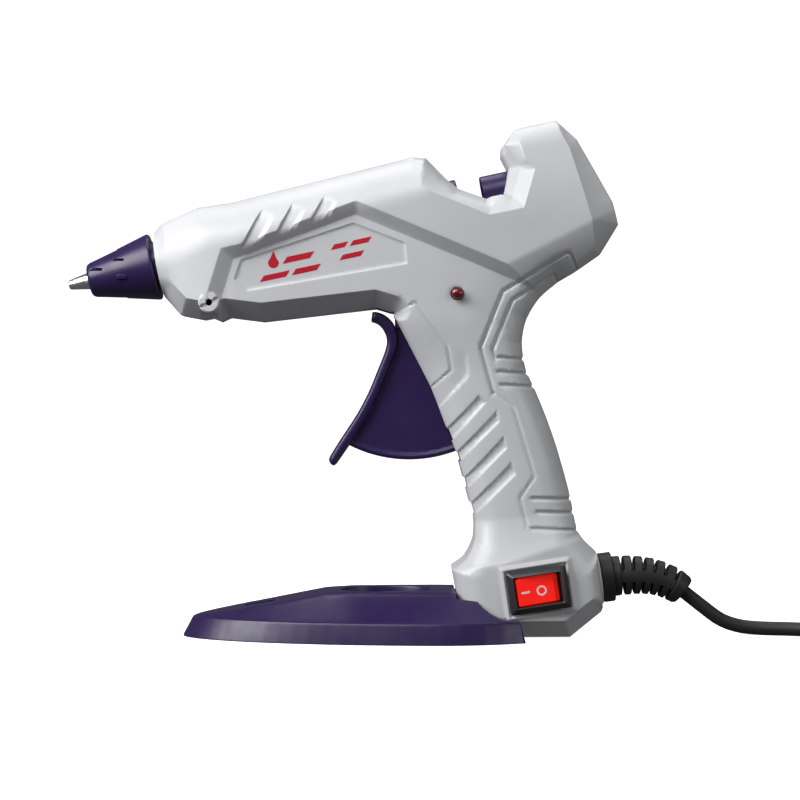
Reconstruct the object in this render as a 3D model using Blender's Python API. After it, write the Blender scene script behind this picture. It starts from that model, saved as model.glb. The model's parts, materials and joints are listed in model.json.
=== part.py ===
"""Hot-melt glue gun on a clip-on stand.

The nozzle points to -X, the switch side faces -Y and +Z is up. The floor is Z = 0.
Every size below is in millimetres; meshes are made in metres.
"""

import math

import bmesh
import bpy
import numpy as np
from mathutils import Matrix, Vector
from mathutils.geometry import delaunay_2d_cdt

MM = 0.001

# ---- driving dimensions ----
WALL = 2.2
FAR_OUT = 30.0  # a distance from the middle plane that is clear of the casing
SEAM = 0.15  # half the gap between the casing halves
CLEAR = 0.35
STICK_BORE = 5.9  # inner radius of everything that the 11 mm glue stick goes through

AXIS_TILT = math.radians(12.2)  # the barrel axis rises towards the back
AXIS_POINT = Vector((-0.65, 0.0, 145.8))
ALONG = Vector((math.cos(AXIS_TILT), 0.0, math.sin(AXIS_TILT)))
ACROSS = Vector((-math.sin(AXIS_TILT), 0.0, math.cos(AXIS_TILT)))

TRIGGER_PIVOT = (23.8, 109.6)
TRIGGER_RADIUS = 46.8
TRIGGER_WEB = 7.3  # half thickness
TRIGGER_BAR = 9.0  # half width of the finger rest
FORK_INNER, FORK_OUTER = 8.7, 11.2
CARRIAGE_PIN_AT = 22.7  # along the barrel axis
GRIPPER_PIVOT = (32.0, -10.4)  # along and across the barrel axis

SWITCH_CENTRE = (68.7, 17.9)
SWITCH_TILT = math.radians(8.4)
SWITCH_FACE = 20.35  # the casing's flat around the switch, from the middle plane
ROCKER_PIVOT_Y = -20.0
LED_AT = (40.6, 121.1)
REST_EYE_AT = (-46.0, 118.0)

STAND_LENGTH_FRONT, STAND_LENGTH_REAR = 91.7, 29.1  # from the widest section
STAND_MIDDLE_X = 35.0
STAND_HALF_WIDTH = 34.4
STAND_DECK = 16.6
SOCKET_HALF_WIDTH = 20.5

CORD_RADIUS = 2.5
COIL_CENTRE = (210.0, 20.0)
COIL_INNER, COIL_OUTER, COIL_HEIGHT = 17.4, 37.6, 10.2
PLUG_BACK = Vector((198.0, -1.0, COIL_HEIGHT + 7.2))
PLUG_HALF_HEIGHT = 6.8
PIN_SPACING = 18.6
RELIEF_TILT = math.radians(7.8)
RELIEF_START = (94.3, 20.7)
RELIEF_END = (121.6, 15.7)

SCREWS_AT = ((-30.0, 118.6), (12.0, 162.6), (86.0, 147.0), (65.0, 79.0), (54.0, 38.0))

# ---- casing outline on the middle plane, in groups, clockwise from the nose ----
# Each group: its points (x, z), and its edge profile, which is (distance in, share of the full
# half width) pairs, or (reach, first share) of a round edge.
OUTLINE_GROUPS = {
    "nose_face": (((-63.0, 120.3), (-67.3, 143.4)), ((0, 0.86), (2.5, 1.0))),
    "nose_top": (((-67.3, 143.4), (-64.6, 146.7)), ((0, 0.7), (3, 1.0))),
    "top": (((-64.6, 146.7), (-50.9, 152.5), (-39.8, 154.0), (22.9, 169.7)), (17.0, 0.14)),
    "back_slope": (((22.9, 169.7), (29.7, 169.2), (36.8, 161.9), (51.2, 154.9)), ((0, 0.72), (5, 1.0))),
    "notch": (((51.2, 154.9), (57.0, 156.2)), ((0, 0.74), (4.6, 1.0))),
    "hook_front": (
        ((57.0, 156.2), (59.0, 165.7), (56.5, 170.5), (56.5, 173.1), (61.2, 179.8)),
        ((0, 0.35), (4.2, 0.8), (9, 1.0)),
    ),
    "hook_top": (((61.2, 179.8), (75.8, 183.1)), (8.0, 0.5)),
    "hook_back": (((75.8, 183.1), (83.2, 176.2), (95.7, 153.7), (97.8, 146.0)), ((0, 0.6), (5, 1.0))),
    "hook_under": (((97.8, 146.0), (91.4, 135.3), (83.5, 129.8), (77.0, 126.0)), ((0, 0.6), (5, 1.0))),
    "grip_back": (
        (
            (77.0, 126.0),
            (69.9, 119.8),
            (64.8, 111.8),
            (63.8, 104.3),
            (65.5, 93.3),
            (68.9, 86.4),
            (73.7, 74.2),
            (80.9, 49.5),
            (83.6, 37.3),
            (89.9, 30.3),
        ),
        (10.0, 0.4),
    ),
    "foot_back": (((89.9, 30.3), (92.0, 11.0), (91.6, 9.2)), ((0, 0.8), (3, 1.0))),
    "foot_under": (((91.6, 9.2), (80.5, 0.4), (43.5, 0.4)), ((0, 0.55), (6.5, 1.0))),
    "foot_front": (((43.5, 0.4), (38.9, 24.3)), ((0, 0.8), (2.5, 1.0))),
    "grip_front": (
        (
            (38.9, 24.3),
            (44.3, 29.0),
            (46.7, 35.9),
            (46.5, 42.5),
            (43.0, 55.7),
            (40.6, 65.0),
            (36.8, 73.5),
            (31.7, 87.8),
            (18.0, 114.5),
        ),
        (8.0, 0.6),
    ),
    "barrel_under": (
        ((18.0, 114.5), (11.6, 116.4), (-28.0, 111.8), (-49.4, 112.7), (-56.9, 113.9), (-63.0, 120.3)),
        ((0, 0.45), (6.2, 1.0)),
    ),
}
# Lower edge of the proud upper body: segments and how far its sloping band reaches below.
BODY_STEP = ((-47.5, 105.0), (-46.6, 121.2), (-41.7, 136.7), (-33.7, 138.5), (5.2, 153.2))
BODY_STEP += ((58.1, 131.3), (110.0, 158.0))
BODY_STEP_BANDS = (5.2, 5.2, 4.5, 4.3, 4.0, 13.0)
COLLAR_SLOPE = 0.128  # the foot's collar line climbs towards the back
COLLAR_START = (38.9, 24.4)
GRID = 7.0  # spacing of the points that a casing surface is made from
EDGE_RING = 4.8  # how far in from the outline a ring of those points runs


def full_half_width(x, z):
    """Half width of the casing away from its edges."""
    upper = np.interp(x, (-67, -50, -30), (12.6, 17.6, 21.5))
    panel = np.minimum(18.6, upper - 2.4)
    grip = np.interp(z, (95, 112), (15.3, 18.6))
    lower = np.where(z > 112, panel, np.minimum(grip, 18.6))
    above_collar = z - COLLAR_START[1] - COLLAR_SLOPE * (x - COLLAR_START[0])
    flare = 4.4 * np.clip(1 - above_collar / 15, 0, 1) ** 2
    lower = np.where(z < 60, np.where(above_collar > 0, 15.3 + flare, 20.0), lower)
    rise = body_rise(x, z)
    return lower + (upper - lower) * rise


def body_rise(x, z):
    """1 on the proud upper body, falling to 0 across its sloping band."""
    region = BODY_STEP + ((110.0, 220.0), (-110.0, 220.0), (-110.0, 105.0))
    rise = inside(x, z, region).astype(float)
    for start, end, band in zip(BODY_STEP, BODY_STEP[1:], BODY_STEP_BANDS):
        away = distance_to(x, z, (start, end))
        rise = np.maximum(rise, 1 - away / band)
    return rise


def profile_share(profile, distance):
    """Share of the full half width at a distance in from an edge."""
    if not isinstance(profile[0], tuple):
        reach, first = profile
        ratio = np.clip(distance / reach, 0, 1)
        return first + (1 - first) * np.sqrt(1 - (1 - ratio) ** 2)
    reaches, shares = zip(*profile)
    return np.interp(distance, reaches, shares)


def casing_half_width(x, z, wall_in=0.0):
    """Half width of the casing at (x, z), or of its inner surface when wall_in is given."""
    full = full_half_width(x, z)
    width = full.copy()
    for points, profile in OUTLINE_GROUPS.values():
        distance = np.maximum(distance_to(x, z, points) - wall_in, 0)
        width = np.minimum(width, full * profile_share(profile, distance))
    round_nose = full * np.sqrt(1 - (1 - np.clip(nose_depth(x, z) - wall_in, 0, 12) / 12) ** 2)
    blend = np.clip((x + 67) / 20, 0, 1)
    blend = blend * blend * (3 - 2 * blend)
    width = round_nose * (1 - blend) + width * blend
    return np.maximum(width - wall_in, 0.6)


def nose_depth(x, z):
    """Distance in from the top and bottom edges of the nose."""
    top = distance_to(x, z, OUTLINE_GROUPS["nose_top"][0][:1] + OUTLINE_GROUPS["top"][0])
    return np.minimum(top, distance_to(x, z, OUTLINE_GROUPS["barrel_under"][0]))


# ---- plane geometry ----


def distance_to(x, z, points):
    """Distance from each (x, z) to an open run of segments."""
    best = np.full(np.shape(x), np.inf)
    for (ax, az), (bx, bz) in zip(points, points[1:]):
        dx, dz = bx - ax, bz - az
        along = np.clip(((x - ax) * dx + (z - az) * dz) / (dx * dx + dz * dz), 0, 1)
        best = np.minimum(best, np.hypot(x - ax - along * dx, z - az - along * dz))
    return best


def inside(x, z, polygon):
    """Whether each (x, z) is inside a closed polygon."""
    odd = np.zeros(np.shape(x), bool)
    for (ax, az), (bx, bz) in zip(polygon, polygon[1:] + polygon[:1]):
        if az == bz:
            continue
        crosses = ((az > z) != (bz > z)) & (x < (bx - ax) * (z - az) / (bz - az) + ax)
        odd ^= crosses
    return odd


def resampled(points, spacing, closed=False):
    """The same run of segments with extra points, none further apart than the spacing."""
    ends = points[1:] + points[:1] if closed else points[1:]
    result = []
    for (ax, az), (bx, bz) in zip(points, ends):
        steps = max(1, math.ceil(math.hypot(bx - ax, bz - az) / spacing))
        result += [(ax + (bx - ax) * i / steps, az + (bz - az) * i / steps) for i in range(steps)]
    return result if closed else result + [points[-1]]


def inset_polygon(polygon, inset):
    """The polygon moved inwards, without the points that would land too near its edge."""
    area = sum(ax * bz - bx * az for (ax, az), (bx, bz) in zip(polygon, polygon[1:] + polygon[:1]))
    side = 1 if area > 0 else -1
    moved = []
    for before, here, after in zip(polygon[-1:] + polygon[:-1], polygon, polygon[1:] + polygon[:1]):
        first = Vector((here[0] - before[0], here[1] - before[1])).normalized()
        second = Vector((after[0] - here[0], after[1] - here[1])).normalized()
        bisector = Vector((-first.y - second.y, first.x + second.x)) * side
        bisector.normalize()
        cosine = max(0.4, bisector.dot(Vector((-second.y, second.x)) * side))
        moved.append((here[0] + bisector.x * inset / cosine, here[1] + bisector.y * inset / cosine))
    xs, zs = np.array(moved).T
    ring = polygon + polygon[:1]
    keep = inside(xs, zs, polygon) & (distance_to(xs, zs, ring) > inset * 0.93)
    return [point for point, kept in zip(moved, keep) if kept]


def smooth_route(points, spacing):
    """Points on a smooth curve through the given ones, evenly spaced."""
    ends = [points[0] * 2 - points[1]] + list(points) + [points[-1] * 2 - points[-2]]
    dense = []
    for a, b, c, d in zip(ends, ends[1:], ends[2:], ends[3:]):
        for i in range(20):
            t = i / 20
            linear = (c - a) * t
            square = (2 * a - 5 * b + 4 * c - d) * t * t
            cube = (3 * b - a - 3 * c + d) * t * t * t
            dense.append(b + 0.5 * (linear + square + cube))
    dense.append(points[-1])
    travelled = np.cumsum([0] + [(q - p).length for p, q in zip(dense, dense[1:])])
    count = max(2, round(travelled[-1] / spacing))
    wanted = np.linspace(0, travelled[-1], count + 1)
    axes = [np.interp(wanted, travelled, [p[i] for p in dense]) for i in range(3)]
    return [Vector(p) for p in zip(*axes)]


def on_axis(along, across=0.0, y=0.0):
    """A point given along and across the barrel axis."""
    return AXIS_POINT + ALONG * along + ACROSS * across + Vector((0, y, 0))


# ---- objects ----


def clear_scene():
    for old in list(bpy.data.objects):
        bpy.data.objects.remove(old, do_unlink=True)


def make_material(name, colour, roughness, metallic=0.0):
    material = bpy.data.materials.new(name)
    material.use_nodes = True
    shader = material.node_tree.nodes["Principled BSDF"]
    shader.inputs["Base Color"].default_value = (*colour, 1)
    shader.inputs["Roughness"].default_value = roughness
    shader.inputs["Metallic"].default_value = metallic
    material.diffuse_color = (*colour, 1)
    return material


def add_mesh(name, verts, faces, material=None, sharp_degrees=30):
    """An object from points in millimetres; without a material it is a helper."""
    mesh = bpy.data.meshes.new(name)
    mesh.from_pydata([Vector(v) * MM for v in verts], [], faces)
    work = bmesh.new()
    work.from_mesh(mesh)
    bmesh.ops.recalc_face_normals(work, faces=work.faces)
    work.to_mesh(mesh)
    work.free()
    mesh.shade_smooth()
    mesh.set_sharp_from_angle(angle=math.radians(sharp_degrees))
    obj = bpy.data.objects.new(name, mesh)
    bpy.context.scene.collection.objects.link(obj)
    if material:
        mesh.materials.append(material)
    else:
        obj.hide_render = True
        obj.display_type = "WIRE"
    return obj


def boolean(obj, other, operation="DIFFERENCE"):
    modifier = obj.modifiers.new(other.name, "BOOLEAN")
    modifier.object = other
    modifier.operation = operation
    modifier.solver = "EXACT"
    return obj


def put_origin(obj, point):
    """Moves an object's origin to a point in millimetres, leaving its shape where it is."""
    place = Vector(point) * MM
    obj.data.transform(Matrix.Translation(-place))
    obj.location = place


def prism(name, outline, y_from, y_to, material=None):
    """An outline in (x, z) pushed along Y."""
    count = len(outline)
    verts = [(x, y_from, z) for x, z in outline] + [(x, y_to, z) for x, z in outline]
    sides = [(i, (i + 1) % count, count + (i + 1) % count, count + i) for i in range(count)]
    ends = [tuple(range(count)), tuple(range(2 * count - 1, count - 1, -1))]
    return add_mesh(name, verts, sides + ends, material)


def box(name, low, high, material=None):
    outline = [(low[0], low[2]), (high[0], low[2]), (high[0], high[2]), (low[0], high[2])]
    return prism(name, outline, low[1], high[1], material)


def turned(name, profile, base, axis, material=None, segments=24):
    """A closed profile of (along, radius) turned about an axis."""
    axis = Vector(axis).normalized()
    side = axis.cross(Vector((0, 1, 0)) if abs(axis.y) < 0.9 else Vector((1, 0, 0))).normalized()
    up = axis.cross(side)
    base = Vector(base)
    verts, rings = [], []
    for along, radius in profile:
        centre = base + axis * along
        if radius == 0:
            rings.append([len(verts)] * segments)
            verts.append(centre)
            continue
        rings.append(list(range(len(verts), len(verts) + segments)))
        for i in range(segments):
            turn = 2 * math.pi * i / segments
            verts.append(centre + (side * math.cos(turn) + up * math.sin(turn)) * radius)
    faces = []
    for ring, following in zip(rings, rings[1:] + rings[:1]):
        for i in range(segments):
            j = (i + 1) % segments
            corners = dict.fromkeys((ring[i], ring[j], following[j], following[i]))
            if len(corners) > 2:
                faces.append(tuple(corners))
    return add_mesh(name, verts, faces, material)


def rod(name, start, end, radius, material=None, segments=16):
    start, end = Vector(start), Vector(end)
    length = (end - start).length
    profile = [(0, 0), (0, radius), (length, radius), (length, 0)]
    return turned(name, profile, start, end - start, material, segments)


def pipe(name, start, end, outer, inner, material=None, segments=24):
    start, end = Vector(start), Vector(end)
    length = (end - start).length
    profile = [(0, inner), (0, outer), (length, outer), (length, inner)]
    return turned(name, profile, start, end - start, material, segments)


def tube(name, points, radius, material, sides_resolution=2):
    """A round cord or wire along a run of points."""
    curve = bpy.data.curves.new(name, "CURVE")
    curve.dimensions = "3D"
    curve.bevel_depth = radius * MM
    curve.bevel_resolution = sides_resolution
    curve.use_fill_caps = True
    curve.materials.append(material)
    spline = curve.splines.new("POLY")
    spline.points.add(len(points) - 1)
    for spot, point in zip(spline.points, points):
        spot.co = (*(Vector(point) * MM), 1)
    obj = bpy.data.objects.new(name, curve)
    bpy.context.scene.collection.objects.link(obj)
    return obj


def raised_sheet(name, outline, height, floor, spacing, lines, place, material=None):
    """A closed solid over an outline, whose top follows height(u, v); place gives 3-D points."""
    border = resampled(outline, spacing, closed=True)
    runs = [resampled(list(line), spacing) for line in lines]
    fixed = border + [point for run in runs for point in run]
    us, vs = np.array(border).T
    grid_u, grid_v = np.meshgrid(
        np.arange(us.min(), us.max(), spacing), np.arange(vs.min(), vs.max(), spacing)
    )
    grid_u[1::2] += spacing / 2
    grid_u, grid_v = grid_u.ravel(), grid_v.ravel()
    keep = inside(grid_u, grid_v, border)
    for run in [border + border[:1]] + runs:
        keep &= distance_to(grid_u, grid_v, run) > spacing * 0.55
    points = [Vector(p) for p in fixed] + [Vector(p) for p in zip(grid_u[keep], grid_v[keep])]
    edges, first = [], len(border)
    for run in runs:
        edges += [(first + i, first + i + 1) for i in range(len(run) - 1)]
        first += len(run)
    flat, _, faces, _, _, _ = delaunay_2d_cdt(points, edges, [list(range(len(border)))], 1, 1e-5)
    flat_u, flat_v = np.array(flat).T
    tops = height(flat_u, flat_v)
    count = len(flat)
    rim = rim_loop(faces)
    verts = [place(u, v, h) for u, v, h in zip(flat_u, flat_v, tops)]
    verts += [place(flat_u[i], flat_v[i], floor) for i in rim]
    sides = []
    for i in range(len(rim)):
        j = (i + 1) % len(rim)
        sides.append((rim[i], rim[j], count + j, count + i))
    bottom = tuple(range(count, count + len(rim)))
    return add_mesh(name, verts, [tuple(f) for f in faces] + sides + [bottom], material)


def rim_loop(faces):
    """The vertices around the edge of a triangulated region, in order."""
    onward = {}
    for face in faces:
        for a, b in zip(face, face[1:] + face[:1]):
            onward[(a, b)] = True
    after = {a: b for a, b in onward if (b, a) not in onward}
    start = next(iter(after))
    loop, here = [start], after[start]
    while here != start:
        loop.append(here)
        here = after[here]
    return loop


# ---- casing ----


def casing_outline():
    points = []
    for group, _ in OUTLINE_GROUPS.values():
        points += list(group[:-1]) if group[0] not in points else list(group[1:-1])
    return points


def casing_lines():
    """Creases that the casing's coarse surface follows."""
    step = list(BODY_STEP[1:-1]) + [(92.0, 148.6)]
    below = [(-41.5, 120.5), (-37.2, 132.6), (5.0, 148.6), (58.6, 127.0)]
    collar = [(x, COLLAR_START[1] + COLLAR_SLOPE * (x - COLLAR_START[0])) for x in (42.0, 87.5)]
    ring = inset_polygon(resampled(casing_outline(), GRID, closed=True), EDGE_RING)
    return [step, below, collar, ring + ring[:1]]


def cavity_keepouts(side):
    """Solid places left inside a casing half: screw bosses, ribs, pin supports and pads."""
    far = side * FAR_OUT
    solids = []
    for x, z in SCREWS_AT:
        solids.append(rod("boss", (x, -side, z), (x, far, z), 4.8 if side > 0 else 3.4))
    x, z = TRIGGER_PIVOT
    solids.append(rod("pivot_boss", (x, side * 8.2, z), (x, far, z), 3.6))
    for along, low in ((-58.0, -9), (-22.0, -9), (60.0, -11), (88.0, -11)):
        solids.append(axis_block("rib", (along, along + 2), (low, 30), -side * 1.0, far))
    low, high = sorted((side * 15, far))
    solids.append(box("rail_backing", (36, low, 3.4), (60, high, 9)))
    low, high = sorted((-side, far))
    seat_x, seat_z = RELIEF_START
    solids.append(box("cord_seat", (seat_x - 8, low, seat_z - 9.5), (seat_x + 10, high, seat_z + 9.5)))
    return solids


def casing_cutters(side):
    """Openings through a casing half."""
    far = side * FAR_OUT
    pivot_x, pivot_z = TRIGGER_PIVOT
    eye_x, eye_z = REST_EYE_AT
    rail_groove = [(37, 4.9), (57.5, 4.9), (57.5, 7.5), (37, 7.5)]
    cutters = [
        rod("chamber_way", on_axis(-80), on_axis(-17), 7.9, segments=24),
        rod("nose_way", on_axis(-80), on_axis(-61), 9.4, segments=24),
        rod("carriage_way", on_axis(30), on_axis(58), 8.15, segments=24),
        rod("guide_way", on_axis(50), on_axis(112), 7.15, segments=24),
        prism("trigger_slot", trigger_slot_outline(), -8.1, 8.1),
        rod("pin_way", (pivot_x, side * 5, pivot_z), (pivot_x, side * 13.4, pivot_z), 1.85),
        rod("eye_way", (eye_x, -FAR_OUT, eye_z), (eye_x, FAR_OUT, eye_z), 1.2, segments=12),
        rod("cord_way", relief_point(-30), relief_point(10), 4.6),
        prism("rail_groove", rail_groove, side * 18.4, far),
    ]
    for x, z in SCREWS_AT:
        if side > 0:
            cutters.append(rod("screw_way", (x, -1, z), (x, far + 1, z), 1.8, segments=12))
            cutters.append(rod("screw_head_way", (x, 9, z), (x, far, z), 3.5))
        else:
            cutters.append(rod("screw_way", (x, 1, z), (x, -10.5, z), 1.8, segments=12))
    if side < 0:
        x, z = LED_AT
        cutters.append(rod("lamp_way", (x, -10, z), (x, far, z), 2.4))
        cutters.append(switch_block("switch_way", 19.0, 12.9, far, -10.0))
    return cutters


def trigger_slot_outline():
    front = [(12.2, 118.5), (11.0, 110.0), (20.0, 98.0), (27.0, 80.0), (36.0, 62.8)]
    back = [(44.5, 62.2), (47.0, 75.0), (38.0, 95.0), (28.5, 112.0), (22.0, 122.0)]
    return front + back


def relief_point(along, across=0.0):
    """A point in the frame of the strain relief, from the middle of its flange."""
    x = RELIEF_START[0] + along * math.cos(RELIEF_TILT) - across * math.sin(RELIEF_TILT)
    z = RELIEF_START[1] + along * math.sin(RELIEF_TILT) + across * math.cos(RELIEF_TILT)
    return Vector((x, 0, z))


def switch_block(name, width, height, y_from, y_to, material=None, centre=(0.0, 0.0)):
    """A block square to the switch, given across its width and height."""
    outline = []
    for u, v in ((-1, -1), (1, -1), (1, 1), (-1, 1)):
        outline.append(switch_point(centre[0] + u * width / 2, centre[1] + v * height / 2))
    return prism(name, outline, y_from, y_to, material)


def switch_point(a, b):
    """(x, z) of a point given along and across the tilted switch."""
    cosine, sine = math.cos(SWITCH_TILT), math.sin(SWITCH_TILT)
    return (SWITCH_CENTRE[0] + a * cosine - b * sine, SWITCH_CENTRE[1] + a * sine + b * cosine)


def build_casing(name, side, material):
    """One half of the casing: side is -1 for the switch half and +1 for the screw half."""
    outline = casing_outline()

    def place(x, z, h):
        return (x, side * h, z)

    def inner_width(x, z):
        return casing_half_width(x, z, WALL)

    shell = raised_sheet(name, outline, casing_half_width, SEAM, GRID, casing_lines(), place, material)
    x, z = REST_EYE_AT
    boolean(shell, rod("eye", (x, side * 6, z), (x, side * 17.4, z), 3.7), "UNION")
    boss_end = rod("cord_boss", relief_point(-8), relief_point(-0.35), 9.2, segments=24)
    low, high = sorted((side * SEAM, side * FAR_OUT))
    boolean(boss_end, box("cord_boss_trim", (60, low, -5), (120, high, 60)), "INTERSECT")
    boolean(shell, boss_end, "UNION")
    inner_outline = inset_polygon(resampled(outline, GRID, True), WALL + 0.2)
    cavity = raised_sheet("cavity", inner_outline, inner_width, -1.0, 6.5, [], place)
    for solid in cavity_keepouts(side):
        boolean(cavity, solid)
    boolean(shell, cavity)
    for cutter in casing_cutters(side):
        boolean(shell, cutter)
    return shell


# ---- hot end and feed ----


def build_nozzle(material):
    outer = [(-99.1, 0.75), (-99.1, 1.5), (-91.0, 2.95), (-84.0, 4.2), (-79.0, 4.6), (-66.4, 4.6)]
    bore = [(-66.4, 1.6), (-96.0, 1.6), (-97.5, 0.75)]
    return turned("nozzle_tip", outer + bore, AXIS_POINT, ALONG, material)


def build_nozzle_cover(material):
    outer = [(-91.2, 4.6), (-91.6, 5.2), (-91.2, 5.75), (-80.2, 8.75), (-79.8, 9.0), (-68.4, 11.8)]
    collar = [(-67.5, 11.5), (-67.5, 8.9), (-60.0, 8.9), (-60.0, 8.1)]
    inner = [(-66.0, 8.1), (-66.0, 5.6), (-82.0, 5.6), (-88.0, 4.4), (-91.0, 3.6)]
    return turned("nozzle_cover", outer + collar + inner, AXIS_POINT, ALONG, material, 32)


def build_melt_chamber(material):
    outer = [(-66.0, 1.6), (-66.0, 7.4), (-20.5, 7.4), (-20.5, 6.6), (-14.0, 6.6), (-14.0, STICK_BORE)]
    inner = [(-40.0, STICK_BORE), (-52.0, 1.6)]
    chamber = turned("melt_chamber", outer + inner, AXIS_POINT, ALONG, material)
    return boolean(chamber, axis_block("melt_chamber_saddle", (-50, -26), (-8.2, -6.9), -5.5, 5.5), "UNION")


def axis_prism(name, corners, y_from, y_to, material=None):
    """An outline given along and across the barrel axis, pushed along Y."""
    points = [on_axis(along, across) for along, across in corners]
    return prism(name, [(p.x, p.z) for p in points], y_from, y_to, material)


def axis_block(name, along, across, y_from, y_to, material=None):
    """A block square to the barrel axis."""
    corners = [(along[0], across[0]), (along[1], across[0]), (along[1], across[1]), (along[0], across[1])]
    return axis_prism(name, corners, y_from, y_to, material)


def build_heater_clip(material):
    outer = [(-9.1, 4), (-9.1, -11.9), (9.1, -11.9), (9.1, 4)]
    inner = [(8.2, 4), (8.2, -11.0), (-8.2, -11.0), (-8.2, 4)]
    outline = outer + inner
    verts = [on_axis(along, across, y) for along in (-44, -32) for y, across in outline]
    count = len(outline)
    sides = [(i, (i + 1) % count, count + (i + 1) % count, count + i) for i in range(count)]
    faces = sides + [tuple(range(count)), tuple(range(2 * count - 1, count - 1, -1))]
    return add_mesh("heater_clip", verts, faces, material)


def build_inlet_sleeve(material):
    profile = [(-20.0, 6.95), (-20.0, 8.0), (2.0, 8.0), (2.0, 6.2), (-13.6, 6.2), (-13.6, 6.95)]
    return turned("inlet_sleeve", profile, AXIS_POINT, ALONG, material)


def build_carriage(material):
    carriage = pipe("feed_carriage", on_axis(17), on_axis(42.2), 7.75, STICK_BORE + 0.1, material)
    for side in (-1, 1):
        start = on_axis(CARRIAGE_PIN_AT, 0, side * 6.9)
        end = on_axis(CARRIAGE_PIN_AT, 0, side * 11.2)
        boolean(carriage, rod(f"carriage_pin_{side:+d}", start, end, 1.5, segments=12), "UNION")
        ear = [(28, -6.4), (36, -6.4), (34, -12.2), (30, -12.2)]
        boolean(carriage, axis_prism(f"carriage_ear_{side:+d}", ear, side * 3.4, side * 5.2), "UNION")
    boolean(carriage, axis_block("carriage_window", (27.5, 33), (-9, -4.5), -2.2, 2.2))
    boolean(carriage, axis_rod("carriage_ear_hole", GRIPPER_PIVOT, 7, 1.15))
    put_origin(carriage, on_axis(CARRIAGE_PIN_AT))
    return carriage


def build_gripper(material):
    tooth = [(30.6, -9.0), (29.0, -6.2), (28.2, -6.2), (28.6, -9.4)]
    root = [(30.0, -12.0), (33.6, -12.0), (33.6, -9.0)]
    gripper = axis_prism("stick_gripper", tooth + root, -1.8, 1.8, material)
    boolean(gripper, axis_rod("gripper_hole", GRIPPER_PIVOT, 4, 1.15))
    put_origin(gripper, on_axis(*GRIPPER_PIVOT))
    return gripper


def axis_rod(name, place, half_length, radius, material=None):
    """A rod along Y, through a point given along and across the barrel axis."""
    start, end = on_axis(*place, -half_length), on_axis(*place, half_length)
    return rod(name, start, end, radius, material, segments=12)


def build_guide_tube(material):
    return pipe("stick_guide", on_axis(53.0), on_axis(92.0), 6.8, STICK_BORE + 0.1, material)


# ---- trigger ----


def around_pivot(radius, degrees):
    """A point at a radius from the trigger pivot, turned from straight down towards the grip."""
    angle = math.radians(degrees)
    x, z = TRIGGER_PIVOT
    return (x + radius * math.sin(angle), z - radius * math.cos(angle))


def trigger_bar_outline():
    front = [(10.6, 115.0), (10.3, 111.7), (13.2, 110.4), (15.1, 108.2), (16.0, 105.2), (15.4, 101.8)]
    front += [(13.4, 97.8), (6.0, 83.5)]
    end = [(-4.6, 64.6), (-4.6, 62.4), (-3.6, 60.6), (-2.2, 60.3)]
    back = [(9.3, 81.0), (16.6, 95.4), (18.9, 100.6), (19.9, 105.6), (18.6, 110.6), (15.2, 114.0)]
    return front + end + back


def build_trigger(material):
    bar = prism("trigger", trigger_bar_outline(), -TRIGGER_BAR, TRIGGER_BAR, material)
    sector = [around_pivot(TRIGGER_RADIUS, degrees) for degrees in range(-30, 25, 6)]
    web_outline = sector + [(32.0, 100.0), (28.6, 108.0), (26.4, 113.2), (20.0, 114.0), (15.6, 106.0)]
    boolean(bar, prism("trigger_web", web_outline, -TRIGGER_WEB, TRIGGER_WEB), "UNION")
    boolean(bar, prism("trigger_arm", arm_outline(0, 22, 5.0, 4.2), -TRIGGER_WEB, TRIGGER_WEB), "UNION")
    yoke = prism("trigger_yoke", arm_outline(19.5, 24.5, 4.6, 4.6), -FORK_OUTER, FORK_OUTER)
    boolean(bar, yoke, "UNION")
    for side in (-1, 1):
        low, high = sorted((side * FORK_INNER, side * FORK_OUTER))
        boolean(bar, prism("trigger_fork", arm_outline(20, 45.2, 4.4, 3.6), low, high), "UNION")
        slot = arm_outline(38.2, 43.4, 1.85, 1.85)
        boolean(bar, prism("trigger_fork_slot", slot, low - 1, high + 1))
    pocket = [around_pivot(TRIGGER_RADIUS - 2.4, degrees) for degrees in range(-18, 31, 6)]
    pocket += [(40.0, 96.0), (29.0, 98.0), (24.0, 99.0)]
    boolean(bar, prism("trigger_pocket", pocket, -TRIGGER_WEB + 2.0, TRIGGER_WEB - 2.0))
    x, z = TRIGGER_PIVOT
    boolean(bar, rod("trigger_bore", (x, -12, z), (x, 12, z), 1.85))
    put_origin(bar, (x, 0, z))
    return bar


def arm_outline(start, end, width_start, width_end):
    """A tapered strip from the pivot towards the carriage pin, between two distances."""
    pin = on_axis(CARRIAGE_PIN_AT)
    pivot = Vector((TRIGGER_PIVOT[0], TRIGGER_PIVOT[1]))
    direction = (Vector((pin.x, pin.z)) - pivot).normalized()
    across = Vector((-direction.y, direction.x))
    corners = ((start, -width_start), (end, -width_end), (end, width_end), (start, width_start))
    return [tuple(pivot + direction * along + across * off) for along, off in corners]


def build_return_spring(material):
    start = Vector((37.6, 0.0, 83.0))
    end = Vector((58.6, 0.0, 92.3))
    axis = (end - start).normalized()
    side = axis.cross(Vector((0, 1, 0)))
    turns, steps = 7, 9
    points = []
    for i in range(turns * steps + 1):
        angle = 2 * math.pi * i / steps
        centre = start + (end - start) * i / (turns * steps)
        points.append(centre + (side * math.cos(angle) + Vector((0, 1, 0)) * math.sin(angle)) * 3.0)
    return tube("return_spring", points, 0.4, material, 0)


# ---- electrical parts ----


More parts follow.
